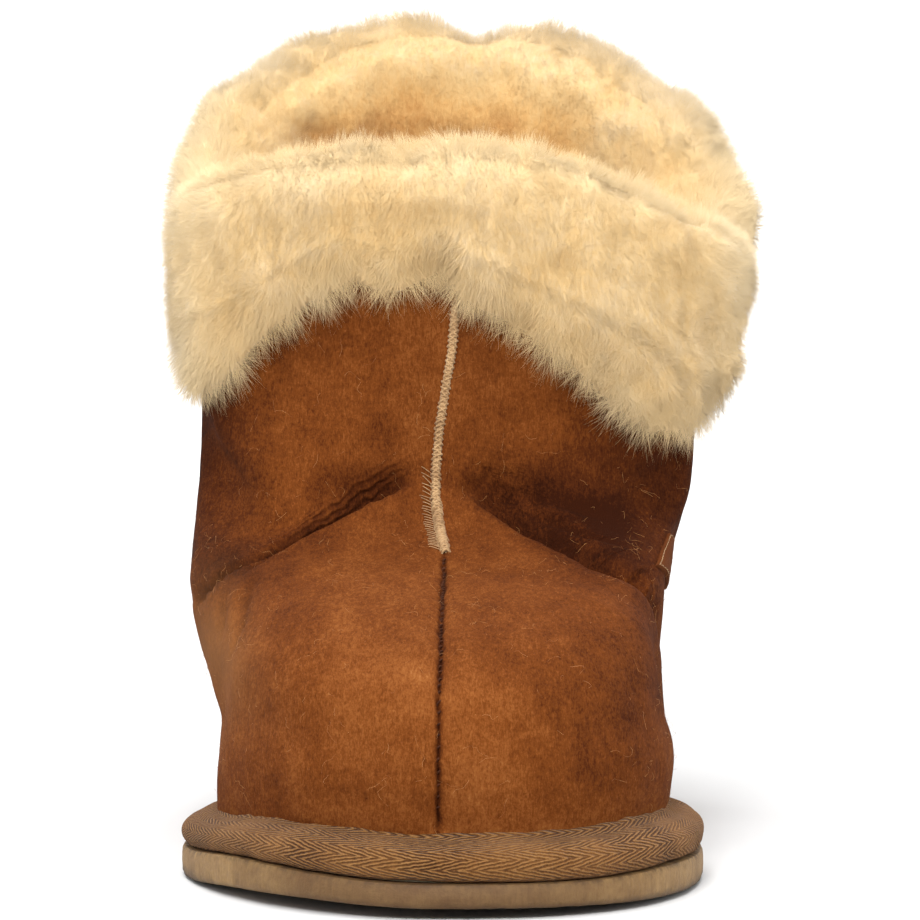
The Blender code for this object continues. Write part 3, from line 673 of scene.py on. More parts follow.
# Painted light: the foam's face is painted darker in the middle and lighter towards the sides, where the side
# light falls.
aside = wire.math("ABSOLUTE", wire.add("ShaderNodeSeparateXYZ", {}, {0: place}))
blots = grain(wire, place, 130, 5, 0.65, 0.6)
speckle = 0.35 * stain + 0.5 * blots + 0.25 * cells + 0.25 * cuts - 0.17
foam_face = speckle.between(0.25, 0.8).blend(rgb(82, 55, 28), rgb(116, 88, 52))
sides = speckle.between(0.25, 0.8).blend(rgb(106, 76, 40), rgb(162, 130, 84))
foam_face = aside.between(0.02, 0.05).blend(foam_face, sides)
low_darkened = (0.85 * low_edge).blend(foam_face, rgb(56, 42, 27))
grime = stored(wire, "glue_line") * grain(wire, place, 420, 4, 0.7).between(0.42, 0.62)
put((0.75 * grime).blend(low_darkened, rgb(66, 46, 27)), shader, "Base Color")
put(bump(cells + 0.6 * scuffs + 0.5 * cuts, 0.5, 0.0005), shader, "Normal")

# Rings of the cut edge. The first three heights are above the floor, the rest above the
# outsole's top. uneven: how far the cut strays. glue: how much glue has soiled it.
EdgeRing = namedtuple("EdgeRing", "out height on_floor uneven glue")
EDGE_RINGS = [
    EdgeRing(-1.3, 0, True, 0.35, 0), EdgeRing(-0.5, 0.25, True, 0.45, 0),
    EdgeRing(-0.15, 1.0, True, 0.3, 0), EdgeRing(0.0, -3.6, False, 0.15, 0),
    EdgeRing(0.0, -2.2, False, 0.1, 0), EdgeRing(-0.1, -1.0, False, 0.15, 0.3),
    EdgeRing(-0.45, -0.25, False, 0.2, 1), EdgeRing(-1.4, 0, False, 0, 1),
]
columns_round = around_sole(1.0)[0]
columns_round = columns_round[:len(columns_round) // 2 * 2]      # even, as the plate's strips need
rings = np.array([at_columns(sole_ring(EDGE_OVERHANG + row.out, row.height, row.on_floor), columns_round)
                  for row in EDGE_RINGS])
for ring, row in zip(rings, EDGE_RINGS):
    nicks = noise_over(ring * [1, 1, 0], 3.5)
    outward = ring[:, :2] - ring[:, :2].mean(axis=0)
    outward /= np.linalg.norm(outward, axis=1, keepdims=True)
    ring[:, :2] += (row.uneven * nicks)[:, None] * outward
    ring[:, 2] += 0.5 * row.uneven * np.abs(nicks)
outsole_mesh = plate("foam_outsole", rings, 50)
with_values(outsole_mesh, {"glue_line": np.repeat([row.glue for row in EDGE_RINGS], len(columns_round))})
add_piece("foam_outsole", outsole_mesh, foam, "eva", "outsole")

platform_foam, shader, wire, place = new_material("platform_foam")
put(grain(wire, place, 700, 4).blend(rgb(170, 158, 132), rgb(206, 194, 168)), shader, "Base Color")
rings = [sole_ring(EDGE_OVERHANG + out, height) for out, height in
         ((-4.5, 0.2), (-2.8, 0.2), (-1.7, 1.4), (-1.2, 2.6), (-1.2, 4.0), (-2.0, 5.4), (-3.6, 6.5),
          (-6.6, 7.5), (-8.0, 7.3))]
add_piece("foam_platform", plate("foam_platform", np.array(rings), 60), platform_foam, "foam", "platform")


# ---------------------------------------------------------------- binding tape
# A brown cotton herringbone tape, wrapped round the platform's edge and glued under the hide
# and over the outsole. Its twill ribs meet in rows of chevrons that run along the edge.

RIM = EDGE_OVERHANG - 0.2
tape_profile = [(RIM - 3.4, 0.35), (RIM - 1.3, 0.35), (RIM - 0.2, 1.2), (RIM + 0.25, 2.6), (RIM + 0.2, 4.2),
                (RIM - 0.5, 5.7), (RIM - 1.9, 6.9), (RIM - 3.8, 7.7), (RIM - 5.3, 8.1), (RIM - 6.2, 8.6),
                (RIM - 6.65, 9.3), (RIM - 6.95, 9.45), (RIM - 7.4, 8.9)]
RIB = 2.7                 # along the tape, from one rib to the next
BAND = 4.0                # across the tape, from one row of chevrons to the next
SLANT = 1.9               # how far a rib runs along the tape for each millimetre across
places, travel, perimeter = around_sole(0.9)
profile = fine_profile(tape_profile, 0.8)
across = lengths_along(profile)
tape_grid = np.array([at_columns(sole_ring(offset, height), places) for offset, height in profile])
frayed = np.array([noise.noise(Vector((distance / 5, 0, 2))) for distance in travel])
tape_grid[..., 2] += 0.5 * frayed * smooth(across, across[-1] - 3, across[-1] - 1)[:, None]
tape_grid = tape_grid + grid_normals(tape_grid) * (0.35 * noise_over(tape_grid, 9))[..., None]
tape_mesh = grid_mesh("herringbone_tape", [tape_grid], smooth_angle=180)
ribs = np.append(travel, perimeter) / perimeter * round(perimeter / RIB)
corners = np.empty((len(across) - 1, len(places), 4, 2))
corners[..., 0] = np.stack([ribs[:-1], ribs[:-1], ribs[1:], ribs[1:]], axis=1)
corners[..., 1] = np.stack([across[:-1], across[1:], across[1:], across[:-1]], axis=1)[:, None] / BAND
tape_mesh.uv_layers.new(name="weave").data.foreach_set("uv", corners.reshape(-1))

tape_cloth, shader, wire, place = new_material("tape_cloth", roughness=0.95, sheen=0.05, specular=0.1)
weave = wire.add("ShaderNodeUVMap", {"uv_map": "weave"})
ribs_along = wire.add("ShaderNodeSeparateXYZ", {}, {0: weave})
bands_across = wire.add("ShaderNodeSeparateXYZ", {}, {0: weave}, out=1)
zigzag = wire.math("ABSOLUTE", wire.math("FRACT", bands_across + 0.25) * 2 - 1)
slack = grain(wire, place, 170, 3, 0.5) + 0.5 * grain(wire, place, 900, 2, 0.6)
phase = wire.math("FRACT", ribs_along + zigzag * (SLANT * BAND / RIB) + slack * 1.3)
rib = (1 - wire.math("ABSOLUTE", phase * 2 - 1)).between(0.0, 0.95)
yarn = grain(wire, place, 1700, 3, 0.65)
shade = grain(wire, place, 90, 4, 0.6)
worn = grain(wire, place, 60, 3, 0.6).between(0.35, 0.62)
rib = 0.3 * worn + rib * (1 - 0.4 * worn)
level = 0.66 * rib + 0.55 * yarn + 0.3 * shade - 0.29
put(shades(level, (0.1, 62, 34, 14), (0.35, 98, 62, 30), (0.6, 124, 84, 44), (0.85, 150, 109, 64)),
    shader, "Base Color")
put(bump(0.8 * rib + 0.8 * yarn, 0.9, 0.0007), shader, "Normal")
add_piece("herringbone_tape", tape_mesh, tape_cloth, "tape", "binding_tape")


# ---------------------------------------------------------------- fleece cuff
# The shaft's top is turned down over itself, wool side out. The wool is about 15 mm deep and
# brushed: it parts into soft locks, cream at the tips and golden at the roots. Its colour also
# carries painted light and shade: golden in the body's hollows, at the hem and deep inside the
# opening, paler along the rim and at the sides.

# The fold's lower edge. around: from the front, 0, to the back seam, 0.5. outer, inner: its
# height at the two sides.
Hem = namedtuple("Hem", "around outer inner")
HEM = [
    Hem(0.000, 114, 114), Hem(0.020, 117.5, 111.5), Hem(0.045, 113, 106.5), Hem(0.060, 113.5, 103.5),
    Hem(0.075, 116, 100), Hem(0.100, 112.5, 95), Hem(0.125, 107, 90), Hem(0.150, 101, 86.3),
    Hem(0.180, 95, 83.3), Hem(0.200, 93, 83.5), Hem(0.225, 92.7, 84.5), Hem(0.260, 95, 88),
    Hem(0.300, 98.5, 94), Hem(0.340, 102, 99.5), Hem(0.420, 112, 110), Hem(0.500, 118, 118),
]
HEM_DROOP = 7.0           # the tips hang this far below the fold's edge

# Section of the fleece's body. along: 0 at the hem, 1 at the hide's top edge. rise: mm above
# it. out: distance from the hide's outer face.
Fleece = namedtuple("Fleece", "along rise out")
FLEECE_SECTION = [
    Fleece(0.00, 0.0, 0.6), Fleece(0.00, -1.6, 1.6), Fleece(0.02, -1.4, 3.4), Fleece(0.10, 0, 5.0),
    Fleece(0.20, 0, 6.1), Fleece(0.32, 0, 6.8), Fleece(0.50, 0, 7.2), Fleece(0.72, 0, 8.2),
    Fleece(0.90, 0, 8.8), Fleece(1.00, 4.8, 7.8), Fleece(1.00, 9.4, 4.2), Fleece(1.00, 11.2, -1.2),
    Fleece(1.00, 8.8, -7.2), Fleece(1.00, 3.4, -11.0), Fleece(0.84, 0, -12.6), Fleece(0.60, 0, -13.2),
    Fleece(0.35, 0, -12.2), Fleece(0.05, 0, -8.4),
]
SECTION_LENGTH = 40       # from the hem to the top edge, as the section's curve takes it
section_curve = fine_profile([(row.along * SECTION_LENGTH, row.rise, row.out) for row in FLEECE_SECTION],
                             1.25)

# Columns are spread evenly by length round the top edge.
CUFF_LEVEL, CUFF_COLUMNS = 8.2, 360
cuff_first = int(np.searchsorted(hide_heights, CUFF_LEVEL))
travelled = lengths_along(last_grid[-1], closed=True)
spread = np.interp(np.linspace(0, travelled[-1], CUFF_COLUMNS + 1)[:-1], travelled,
                   np.arange(len(travelled)))
skin = np.array([at_columns(ring, spread) for ring in last_grid[cuff_first:]])
skin_normals = np.array([at_columns(ring, spread) for ring in last_normals[cuff_first:]])
around = spread / last_grid.shape[1]
last_row = len(skin) - 1
hem_at = np.array([row.around for row in HEM])
outer_hem = np.interp(around, hem_at, [row.outer for row in HEM])
inner_hem = np.interp(1 - around, hem_at, [row.inner for row in HEM])
hem_z = np.where(around <= 0.5, outer_hem, inner_hem) + HEM_DROOP
hem_row = np.array([np.interp(hem_z[j], skin[:, j, 2], np.arange(last_row + 1))
                    for j in range(CUFF_COLUMNS)])


def on_skin(rows, out, rise):
    """Points over the skin at fractional row numbers, one for each column."""
    low = np.clip(rows.astype(int), 0, last_row - 1)
    part = (rows - low)[:, None]
    j = np.arange(CUFF_COLUMNS)
    spot = skin[low, j] * (1 - part) + skin[low + 1, j] * part
    normal = skin_normals[low, j] * (1 - part) + skin_normals[low + 1, j] * part
    normal /= np.linalg.norm(normal, axis=1, keepdims=True)
    spot = spot + normal * out
    spot[:, 2] += rise
    return spot


fleece_grid = np.array([on_skin(hem_row + (last_row - hem_row) * min(along / SECTION_LENGTH, 1.0), out, rise)
                        for along, rise, out in section_curve])
fleece_normals = grid_normals(fleece_grid)
soft = np.zeros(fleece_grid.shape[:2])
for size, height in ((30, 2.1), (13, 1.5), (6, 0.8), (3.2, 0.4)):
    soft += height * noise_over(fleece_grid, size, (9, 4, 2))
# Where the band is pressed in or stands out: the place, how far it moves in x and z, and the
# reach.
Press = namedtuple("Press", "x y z aside up reach")
PRESSES = [
    Press(46, 146, 172, 0.8, -6.6, 17), Press(62, 128, 160, 0, -3.5, 10),
    Press(9, 164, 180, 0, -5.5, 8), Press(-9, 166, 180, 0, 2.2, 8), Press(-40, 142, 172, 0, -4.0, 13),
    Press(-60, 100, 132, 1.6, 0, 20), Press(-57, 82, 100, 2.4, 0, 9), Press(66, 122, 136, 5.0, 0, 10),
    Press(69, 86, 119, -2.8, 0, 8), Press(-54, 76, 99, -1.6, 0, 7), Press(61, 85, 105, 3.4, 0, 11),
    Press(-9, 50, 150, 0, -1.6, 5), Press(42, 58, 152, 0, -5.5, 12), Press(54, 68, 148, 0, -8.0, 12),
    Press(64, 84, 142, 0, -7.5, 12),
]
pressed = np.zeros(fleece_grid.shape)
for press in PRESSES:
    far = np.linalg.norm(fleece_grid - np.array([press.x, press.y, press.z]), axis=2)
    pressed += np.exp(-(far / press.reach) ** 2)[..., None] * np.array([press.aside, 0, press.up])
row_numbers = np.arange(len(soft))[:, None]
soft *= smooth(row_numbers, 0, 3) * smooth(-row_numbers, -len(soft) + 1, -len(soft) + 5)
fleece_grid = fleece_grid + fleece_normals * soft[..., None]
fleece_grid += pressed

wool, shader, wire, place = new_material("wool", roughness=1.0, sheen=0.35, specular=0.03)
clouds = grain(wire, place, 75, 4, 0.55, 0.6)
strands = grain(wire, stretched(wire, place, (1, 1, 0.4), (0.3, 0.2, 0.1)), 900, 3, 0.65, 0.8)
wisps = grain(wire, place, 260, 4, 0.6, 1.2)
# The stored tuft level carries painted shade as well as the locks' own colour.
level = 0.06 * stored(wire, "tip") + stored(wire, "tuft")
for pattern, strength in ((clouds, 0.32), (wisps, 0.22), (strands, 0.34)):
    level = level + strength * (pattern - 0.5)
golden = shades(level, (0.0, 164, 112, 58), (0.25, 202, 160, 102), (0.5, 212, 180, 128),
                (0.75, 211, 188, 151), (1.0, 215, 199, 173))
# Blended to pale cream where stored: the hem's own paler tips, and painted light along the rim and at the two
# sides.
put(stored(wire, "pale").blend(golden, rgb(238, 215, 172)), shader, "Base Color")
fluff = 0.6 * grain(wire, place, 420, 4, 0.7, 1.0) + 0.5 * strands
put(bump(fluff, 0.3, 0.0009), shader, "Normal")


def node_group(name, takes, **numbers):
    """A Geometry Nodes group with named inputs: a geometry, numbers, a seed and a material."""
    tree = bpy.data.node_groups.new(name, "GeometryNodeTree")

    def socket(title, kind, side="INPUT"):
        return tree.interface.new_socket(title, in_out=side, socket_type="NodeSocket" + kind)

    socket(takes, "Geometry")
    for title, default in numbers.items():
        socket(title.replace("_", " "), "Float").default_value = default
    socket("Seed", "Int")
    socket("Material", "Material")
    socket("Result", "Geometry", "OUTPUT")
    entry = tree.nodes.new("NodeGroupInput")
    return {end.name: Wire(tree, end) for end in entry.outputs if end.name}, Wire(tree)


def finished(shape, material):
    """Gives a group's shape its material, and ends the group with it."""
    dressed = shape.add("GeometryNodeSetMaterial", {}, {"Geometry": shape, "Material": material})
    leave = shape.tree.nodes.new("NodeGroupOutput")
    shape.tree.links.new(dressed.socket, leave.inputs[0])
    return shape.tree


def vector(wire, operation, *values):
    """A Vector Math node. SCALE takes a vector and a number."""
    places = (0, 3) if operation == "SCALE" else (0, 1)
    return wire.add("ShaderNodeVectorMath", {"operation": operation}, dict(zip(places, values)))


def named(wire, name, kind="FLOAT_VECTOR"):
    """A value that is stored on a group's geometry."""
    return wire.add("GeometryNodeInputNamedAttribute", {"data_type": kind}, {"Name": name})


def scattered(wire, surface, density, seed):
    """Points strewn over a surface, and which way it faces at each."""
    spread = wire.add("GeometryNodeDistributePointsOnFaces", {},
                      {"Mesh": surface, "Density": density, "Seed": seed})
    return spread, Wire(wire.tree, spread.socket.node.outputs[1])


def any_vector(wire, seed, low=(-1, -1, -1), high=(1, 1, 1)):
    """A random vector for each point."""
    return wire.add("FunctionNodeRandomValue", {"data_type": "FLOAT_VECTOR"}, {0: low, 1: high, "Seed": seed})


def any_number(wire, seed, low, high):
    """A random number for each point."""
    return wire.add("FunctionNodeRandomValue", {"data_type": "FLOAT"}, {2: low, 3: high, "Seed": seed}, out=1)


def swirl(wire, size, strength):
    """A slow random drift of directions, of a size and a strength."""
    position = wire.add("GeometryNodeInputPosition")
    drift = wire.add("ShaderNodeTexNoise", {}, {"Vector": position, "Detail": 1.0,
                                                "Scale": wire.math("DIVIDE", 1.0, size)}, out=1)
    return vector(wire, "SCALE", vector(wire, "SUBTRACT", drift, (0.5, 0.5, 0.5)), strength * 3.0)


def aimed(wire, upright, sideways):
    """A turn that sets Z along upright and X towards sideways."""
    return wire.add("FunctionNodeAxesToRotation", {"primary_axis": "Z", "secondary_axis": "X"},
                    {0: upright, 1: sideways})


def fibre_tree():
    """Geometry nodes that plant tapered fibres on a surface, leaning together in locks."""
    ends, wire = node_group("fibres", "Surface", Fibres=1e6, Length=0.008, Thickness=0.0003, Lock_Size=0.008,
                            Lock_Pull=0.5, Wave_Size=0.014, Wave=0.8, Wisp_Size=0.004, Wisp=0.5,
                            Scatter=0.3, Lay=0.5)
    density = ends["Fibres"] * named(wire, "thick", "FLOAT")
    points, normal = scattered(wire, ends["Surface"], density, ends["Seed"])
    kept = wire.add("GeometryNodeStoreNamedAttribute", {"data_type": "FLOAT_VECTOR", "domain": "POINT"},
                    {"Geometry": points, "Name": "facing", "Value": normal})
    position = wire.add("GeometryNodeInputPosition")
    lock = wire.add("ShaderNodeTexVoronoi", {}, {"Randomness": 1.0, "Vector": position,
                                                 "Scale": wire.math("DIVIDE", 1.0, ends["Lock Size"])}, out=2)
    jitter = any_vector(wire, ends["Seed"])
    lean = vector(wire, "SCALE", vector(wire, "SUBTRACT", lock, position), ends["Lock Pull"] / ends["Length"])
    lean = vector(wire, "ADD", lean, vector(wire, "SCALE", named(wire, "lay"), ends["Lay"]))
    lean = vector(wire, "ADD", lean, swirl(wire, ends["Wave Size"], ends["Wave"]))
    lean = vector(wire, "ADD", lean, swirl(wire, ends["Wisp Size"], ends["Wisp"]))
    lean = vector(wire, "ADD", lean, vector(wire, "SCALE", jitter, ends["Scatter"]))
    direction = vector(wire, "NORMALIZE", vector(wire, "ADD", named(wire, "facing"), lean))
    turn = aimed(wire, direction, jitter)
    long = ends["Length"] * any_number(wire, ends["Seed"] + 3, 0.6, 1.15) * named(wire, "long", "FLOAT")
    scale = wire.add("ShaderNodeCombineXYZ", {}, {0: ends["Thickness"], 1: ends["Thickness"], 2: long})
    spike = wire.add("GeometryNodeMeshCone", {"fill_type": "NONE"}, {
        "Vertices": 3, "Side Segments": 1, "Radius Top": 0.0, "Radius Bottom": 0.5, "Depth": 1.0})
    along = wire.add("ShaderNodeSeparateXYZ", {}, {0: wire.add("GeometryNodeInputPosition")}, out=2)
    spike = wire.add("GeometryNodeStoreNamedAttribute", {"data_type": "FLOAT", "domain": "POINT"},
                     {"Geometry": spike, "Name": "tip", "Value": along})
    planted = wire.add("GeometryNodeInstanceOnPoints", {},
                       {"Points": kept, "Instance": spike, "Rotation": turn, "Scale": scale})
    return finished(wire.add("GeometryNodeRealizeInstances", {}, {"Geometry": planted}), ends["Material"])


def grown(name, group, surface, values):
    """A plain mesh of what a Geometry Nodes group grows on a mesh. values: its inputs, by name."""
    grower = bpy.data.objects.new(name + "_grower", surface)
    bpy.context.scene.collection.objects.link(grower)
    modifier = grower.modifiers.new(group.name, "NODES")
    modifier.node_group = group
    keys = {item.name: item.identifier for item in group.interface.items_tree if item.in_out == "INPUT"}
    for key, value in values.items():
        modifier[keys[key]] = value
    bpy.context.view_layer.update()
    graph = bpy.context.evaluated_depsgraph_get()
    mesh = bpy.data.meshes.new_from_object(grower.evaluated_get(graph), depsgraph=graph)
    mesh.name = name
    bpy.data.objects.remove(grower)
    mesh.shade_smooth()
    return mesh


def soften(mesh, share, forward=0.0, upward=0.0):
    """Turns the fibres' normals towards their surface's, by a share, then a little upward and,
    on the front half alone, forward."""
    def read(items, field):
        numbers = np.empty(len(mesh.vertices) * 3, np.float32)
        items.foreach_get(field, numbers)
        return numbers.reshape(-1, 3)

    near_front = 1 - smooth(read(mesh.vertices, "co")[:, 1:2] / MM, 90, 150)
    lean = np.array([0, 0, upward]) + near_front * np.array([0, -forward, 0])
    facing, own = read(mesh.attributes["facing"].data, "vector"), read(mesh.vertex_normals, "vector")
    mixed = share * facing + (1 - share) * own + lean
    mixed /= np.linalg.norm(mixed, axis=1, keepdims=True)
    mesh.normals_split_custom_set_from_vertices(mixed.tolist())
    mesh.attributes.remove(mesh.attributes["facing"])


FIBRES = fibre_tree()
down = -np.gradient(fleece_grid, axis=0)
down /= np.linalg.norm(down, axis=2, keepdims=True)
section_place, out_place = section_curve[:, :1] / SECTION_LENGTH, section_curve[:, 2:]
outside = out_place > 0
turned_out = smooth(out_place, -2.5, 5)
lay = down * ((1 - 0.6 * section_place) * turned_out)[..., None]
lay[..., 2] += 0.35 * (1 - turned_out)
rim_row = int(np.argmax(out_place < -1.2))
hem_rows = int(np.argmax(section_place > 0.34))
ragged = noise_over(fleece_grid, 4.5)
at_hem = (1 - smooth(section_place, 0.0, 0.36)) * outside
at_rim = np.exp(-((row_numbers - rim_row) / 8.0) ** 2)
long = 1 + at_hem * (1.1 + 1.0 * ragged) + at_rim * (0.1 + 1.0 * ragged)
thick = np.maximum(0.25, 1 + 1.5 * ragged * at_hem ** 2)
# Paler where the body swells into locks and more golden in its hollows, partly the wool's own colour and
# partly painted shade; a little darker at the hem, painted shade.
tuft = 0.54 + soft / 22 - 0.05 * at_hem
# Painted shade: the wool deep inside the opening, below the rim, is painted darker and more golden, less so
# towards the inner side.
deep = smooth(fleece_grid[rim_row, :, 2] - fleece_grid[..., 2], 5, 25) * ~outside
tuft -= 0.46 * deep * (1 - 0.6 * smooth(fleece_grid[..., 0], 16, 40))
# Paler at the hem's tips, the wool's own colour, and paler along the rim and at the two sides: painted light.
pale = 0.25 * at_hem + 0.35 * np.exp(-((row_numbers - rim_row + 8) / 7.0) ** 2)
pale = pale + 0.4 * smooth(np.abs(fleece_grid[..., 0] - 5), 48, 64)
fleece_mesh = grid_mesh("fleece_body", [fleece_grid], smooth_angle=180)
add_piece("fleece_body", with_values(fleece_mesh, {"tuft": tuft, "pale": pale}), wool, "fleece", "cuff")

# Strips of the body that fibres grow on. length in metres, density per square metre. lay: how
# flat they lie. forward, upward: how far their shading turns.
Strip = namedtuple("Strip", "name first last length lay scatter seed density forward upward")
for strip in [
    Strip("wool_hem", 1, hem_rows + 3, 0.0036, 1.0, 0.75, 31, 6.6e6, 0.3, 0.4),
    Strip("wool_outside", hem_rows - 1, rim_row - 3, 0.0036, 0.75, 0.4, 32, 4.45e6, 0.45, 0.1),
    Strip("wool_rim", rim_row - 9, rim_row + 6, 0.0036, 0.6, 0.4, 33, 7.2e6, 1.0, 0.2),
    Strip("wool_inside", rim_row + 4, len(soft) - 2, 0.0034, 0.6, 0.4, 34, 2.4e6, 0, 0),
]:
    rows = slice(strip.first, strip.last)
    ground = with_values(grid_mesh("strip", [fleece_grid[rows]], smooth_angle=180), {
        "thick": thick[rows], "long": long[rows], "tuft": tuft[rows], "pale": pale[rows], "lay": lay[rows]})
    mesh = grown(strip.name, FIBRES, ground, {
        "Fibres": strip.density, "Length": strip.length, "Thickness": 0.000085, "Lock Size": 0.008,
        "Lock Pull": 0.15, "Wave Size": 0.014, "Wave": 0.6, "Wisp Size": 0.003, "Wisp": 0.6,
        "Scatter": strip.scatter, "Lay": strip.lay, "Seed": strip.seed, "Material": wool})
    soften(mesh, 0.97, strip.forward, strip.upward)
    add_piece(strip.name, mesh, wool, "fleece")


# ---------------------------------------------------------------- footbed and lining
# The inside is sheepskin too: a fleece insole laid on the platform, and the wool side of the
# hide's own wall below the turned-down cuff. Both are short, flat wool.

INSOLE_TOP = 6.6
INSOLE_TUFT_AND_SHADE, LINING_TUFT_AND_SHADE = 0.3, 0.15    # how pale the wool is painted: low, as painted shade deep inside the slipper
LINING_DEPTHS = (0.1, 2.0)              # of its two faces, inside the hide's wall


def inset_ring(inset, height):
    """A ring inside the feather edge, at a height above it."""
    return FEATHER - FEATHER_OUT * inset + [0, 0, height]


insole_rings = [inset_ring(*row) for row in ((3.4, 0.6), (2.9, 1.6), (2.4, 3.0), (1.2, 4.6), (1.1, 5.7),
                                             (2.2, 6.4), (4.2, INSOLE_TOP))]
insole_mesh = plate("fleece_insole", np.array(insole_rings), 60)
with_values(insole_mesh, {"tuft": np.full(len(insole_mesh.vertices), INSOLE_TUFT_AND_SHADE)})
add_piece("fleece_insole", insole_mesh, wool, "fleece", "footbed")

lining_rows = [k for k in range(0, len(hide_heights), 5) if 0.35 < hide_heights[k] < TOP - 0.3]
lining_outer, lining_inner = (hide_grid[lining_rows] - last_normals[lining_rows] * (WALL + depth)
                              for depth in LINING_DEPTHS)
lining_mesh = grid_mesh("fleece_lining", [lining_outer, lining_inner[::-1]], close_stack=True,
                        smooth_angle=80)
with_values(lining_mesh, {"tuft": np.full(len(lining_mesh.vertices), LINING_TUFT_AND_SHADE)})
add_piece("fleece_lining", lining_mesh, wool, "fleece")

middle = FEATHER.mean(axis=0)
ring = inset_ring(3.2, INSOLE_TOP)
spokes = [ring + (middle + [0, 0, INSOLE_TOP] - ring) * part * [1, 0.75, 0] for part in (0, 0.3, 0.6, 0.9)]
insole_top = grid_mesh("insole_top", [np.array(spokes)])
bm = bmesh.new()
bm.from_mesh(insole_top)
for face in bm.faces:
    if face.normal.z < 0:
        face.normal_flip()
bm.to_mesh(insole_top)
bm.free()
count = len(insole_top.vertices)
with_values(insole_top, {"thick": np.ones(count), "long": np.ones(count),
                         "tuft": np.full(count, INSOLE_TUFT_AND_SHADE), "lay": np.tile([0, -0.6, 0], count)})
insole_wool = grown("insole_wool", FIBRES, insole_top, {
    "Fibres": 1.3e6, "Length": 0.0038, "Thickness": 0.00022, "Lock Size": 0.009, "Lock Pull": 0.1,
    "Wave Size": 0.016, "Wave": 0.6, "Wisp Size": 0.0035, "Wisp": 0.8, "Scatter": 0.5, "Lay": 1.0,
    "Seed": 41, "Material": wool})
soften(insole_wool, 0.9)
add_piece("insole_wool", insole_wool, wool, "fleece")


# ---------------------------------------------------------------- seams
# The two panels are closed edge to edge. Cream thread is overcast on the join from the throat
# up under the cuff and up the heel. The toe is sewn from inside, with dark thread, and shows
# as a line with a stitch now and then.

def thickened(curve, thickness, sides):
    """A round thread along a curve."""
    round_thread = curve.add("GeometryNodeCurvePrimitiveCircle", {},
                             {"Resolution": sides, "Radius": thickness * 0.5})
    return curve.add("GeometryNodeCurveToMesh", {},
                     {"Curve": curve, "Profile Curve": round_thread, "Fill Caps": True})


def stitch_tree():
    """Geometry nodes that lay a loop of thread over each point of a mesh."""
    ends, wire = node_group("stitches", "Places", Thickness=0.0005, Width=0.002, Height=0.001,
                            Unevenness=0.15)
    arc = wire.add("GeometryNodeCurveArc", {"mode": "RADIUS"},
                   {"Resolution": 8, "Radius": 1.0, "Start Angle": -0.25, "Sweep Angle": math.pi + 0.5})
    size = wire.add("ShaderNodeCombineXYZ", {}, {0: ends["Width"] * 0.5, 1: ends["Height"], 2: 1.0})
    flat = wire.add("GeometryNodeTransform", {}, {"Geometry": arc, "Scale": size})
    upright = wire.add("GeometryNodeTransform", {}, {"Geometry": flat, "Rotation": (math.pi / 2, 0, 0)})
    loop = thickened(upright, ends["Thickness"], 6)
    wobble = vector(wire, "SCALE", any_vector(wire, ends["Seed"]), ends["Unevenness"])
    turn = aimed(wire, named(wire, "facing"), vector(wire, "ADD", named(wire, "across"), wobble))
    stretch = any_vector(wire, ends["Seed"] + 5, (0.82, 0.9, 0.85), (1.12, 1.1, 1.15))
    laid = wire.add("GeometryNodeInstanceOnPoints", {},
                    {"Points": ends["Places"], "Instance": loop, "Rotation": turn, "Scale": stretch})
    return finished(wire.add("GeometryNodeRealizeInstances", {}, {"Geometry": laid}), ends["Material"])


STITCHES = stitch_tree()


def stitched(name, places, facing, across, thread, thickness, width, height, uneven, seed):
    """Loops of thread at places on a surface, in mm, each laid across the seam."""
    spots = bpy.data.meshes.new(name + "_places")
    spots.from_pydata((np.array(places) * MM).tolist(), [], [])
    return grown(name, STITCHES, with_values(spots, {"facing": facing, "across": across}), {
        "Thickness": thickness * MM, "Width": width * MM, "Height": height * MM, "Unevenness": uneven,
        "Seed": seed, "Material": thread})


def joined(name, meshes):
    """One mesh from several."""
    bm = bmesh.new()
    for mesh in meshes:
        bm.from_mesh(mesh)
    whole = bpy.data.meshes.new(name)
    bm.to_mesh(whole)
    bm.free()
    whole.shade_smooth()
    return whole


def walk(line, facing, spacing):
    """Places along a line on a surface, spacing apart: each place, the line's heading and the
    surface's facing there, and how far along it is."""
    def read(values, known, wanted):
        return np.stack([np.interp(wanted, known, values[:, k]) for k in range(3)], axis=1)

    travelled = lengths_along(line)
    at = np.arange(spacing / 2, travelled[-1], spacing)
    heading = read(line, travelled, at + 0.4) - read(line, travelled, at - 0.4)
    heading /= np.linalg.norm(heading, axis=1, keepdims=True)
    part = at / travelled[-1]
    return read(line, travelled, at), heading, read(facing, np.linspace(0, 1, len(facing)), part), part


def ridge(name, line, facing, width, height):
    """A rolled ridge along a line of points on a surface: the two hide edges under the thread."""
    across = np.cross(np.gradient(line, axis=0), facing)
    across /= np.linalg.norm(across, axis=1, keepdims=True)
    sides = 12
    rings = []
    for k in range(len(line)):
        taper = min(1.0, (k + 0.3) / 3, (len(line) - k - 0.7) / 3)
        rings.append([line[k] + across[k] * (width / 2 * taper * math.cos(turn))
                      + facing[k] * (height * taper * math.sin(turn))
                      for turn in np.linspace(0, 2 * math.pi, sides + 1)[:-1]])
    bm = bmesh.new()
    verts = [[bm.verts.new(Vector(point) * MM) for point in ring] for ring in rings]
    for low, high in zip(verts, verts[1:]):
        for k in range(sides):
            bm.faces.new((low[k], low[(k + 1) % sides], high[(k + 1) % sides], high[k]))
    bm.faces.new(verts[0][::-1])
    bm.faces.new(verts[-1])
    bmesh.ops.recalc_face_normals(bm, faces=bm.faces)
    mesh = bpy.data.meshes.new(name)
    bm.to_mesh(mesh)
    bm.free()
    mesh.shade_smooth()
    return mesh


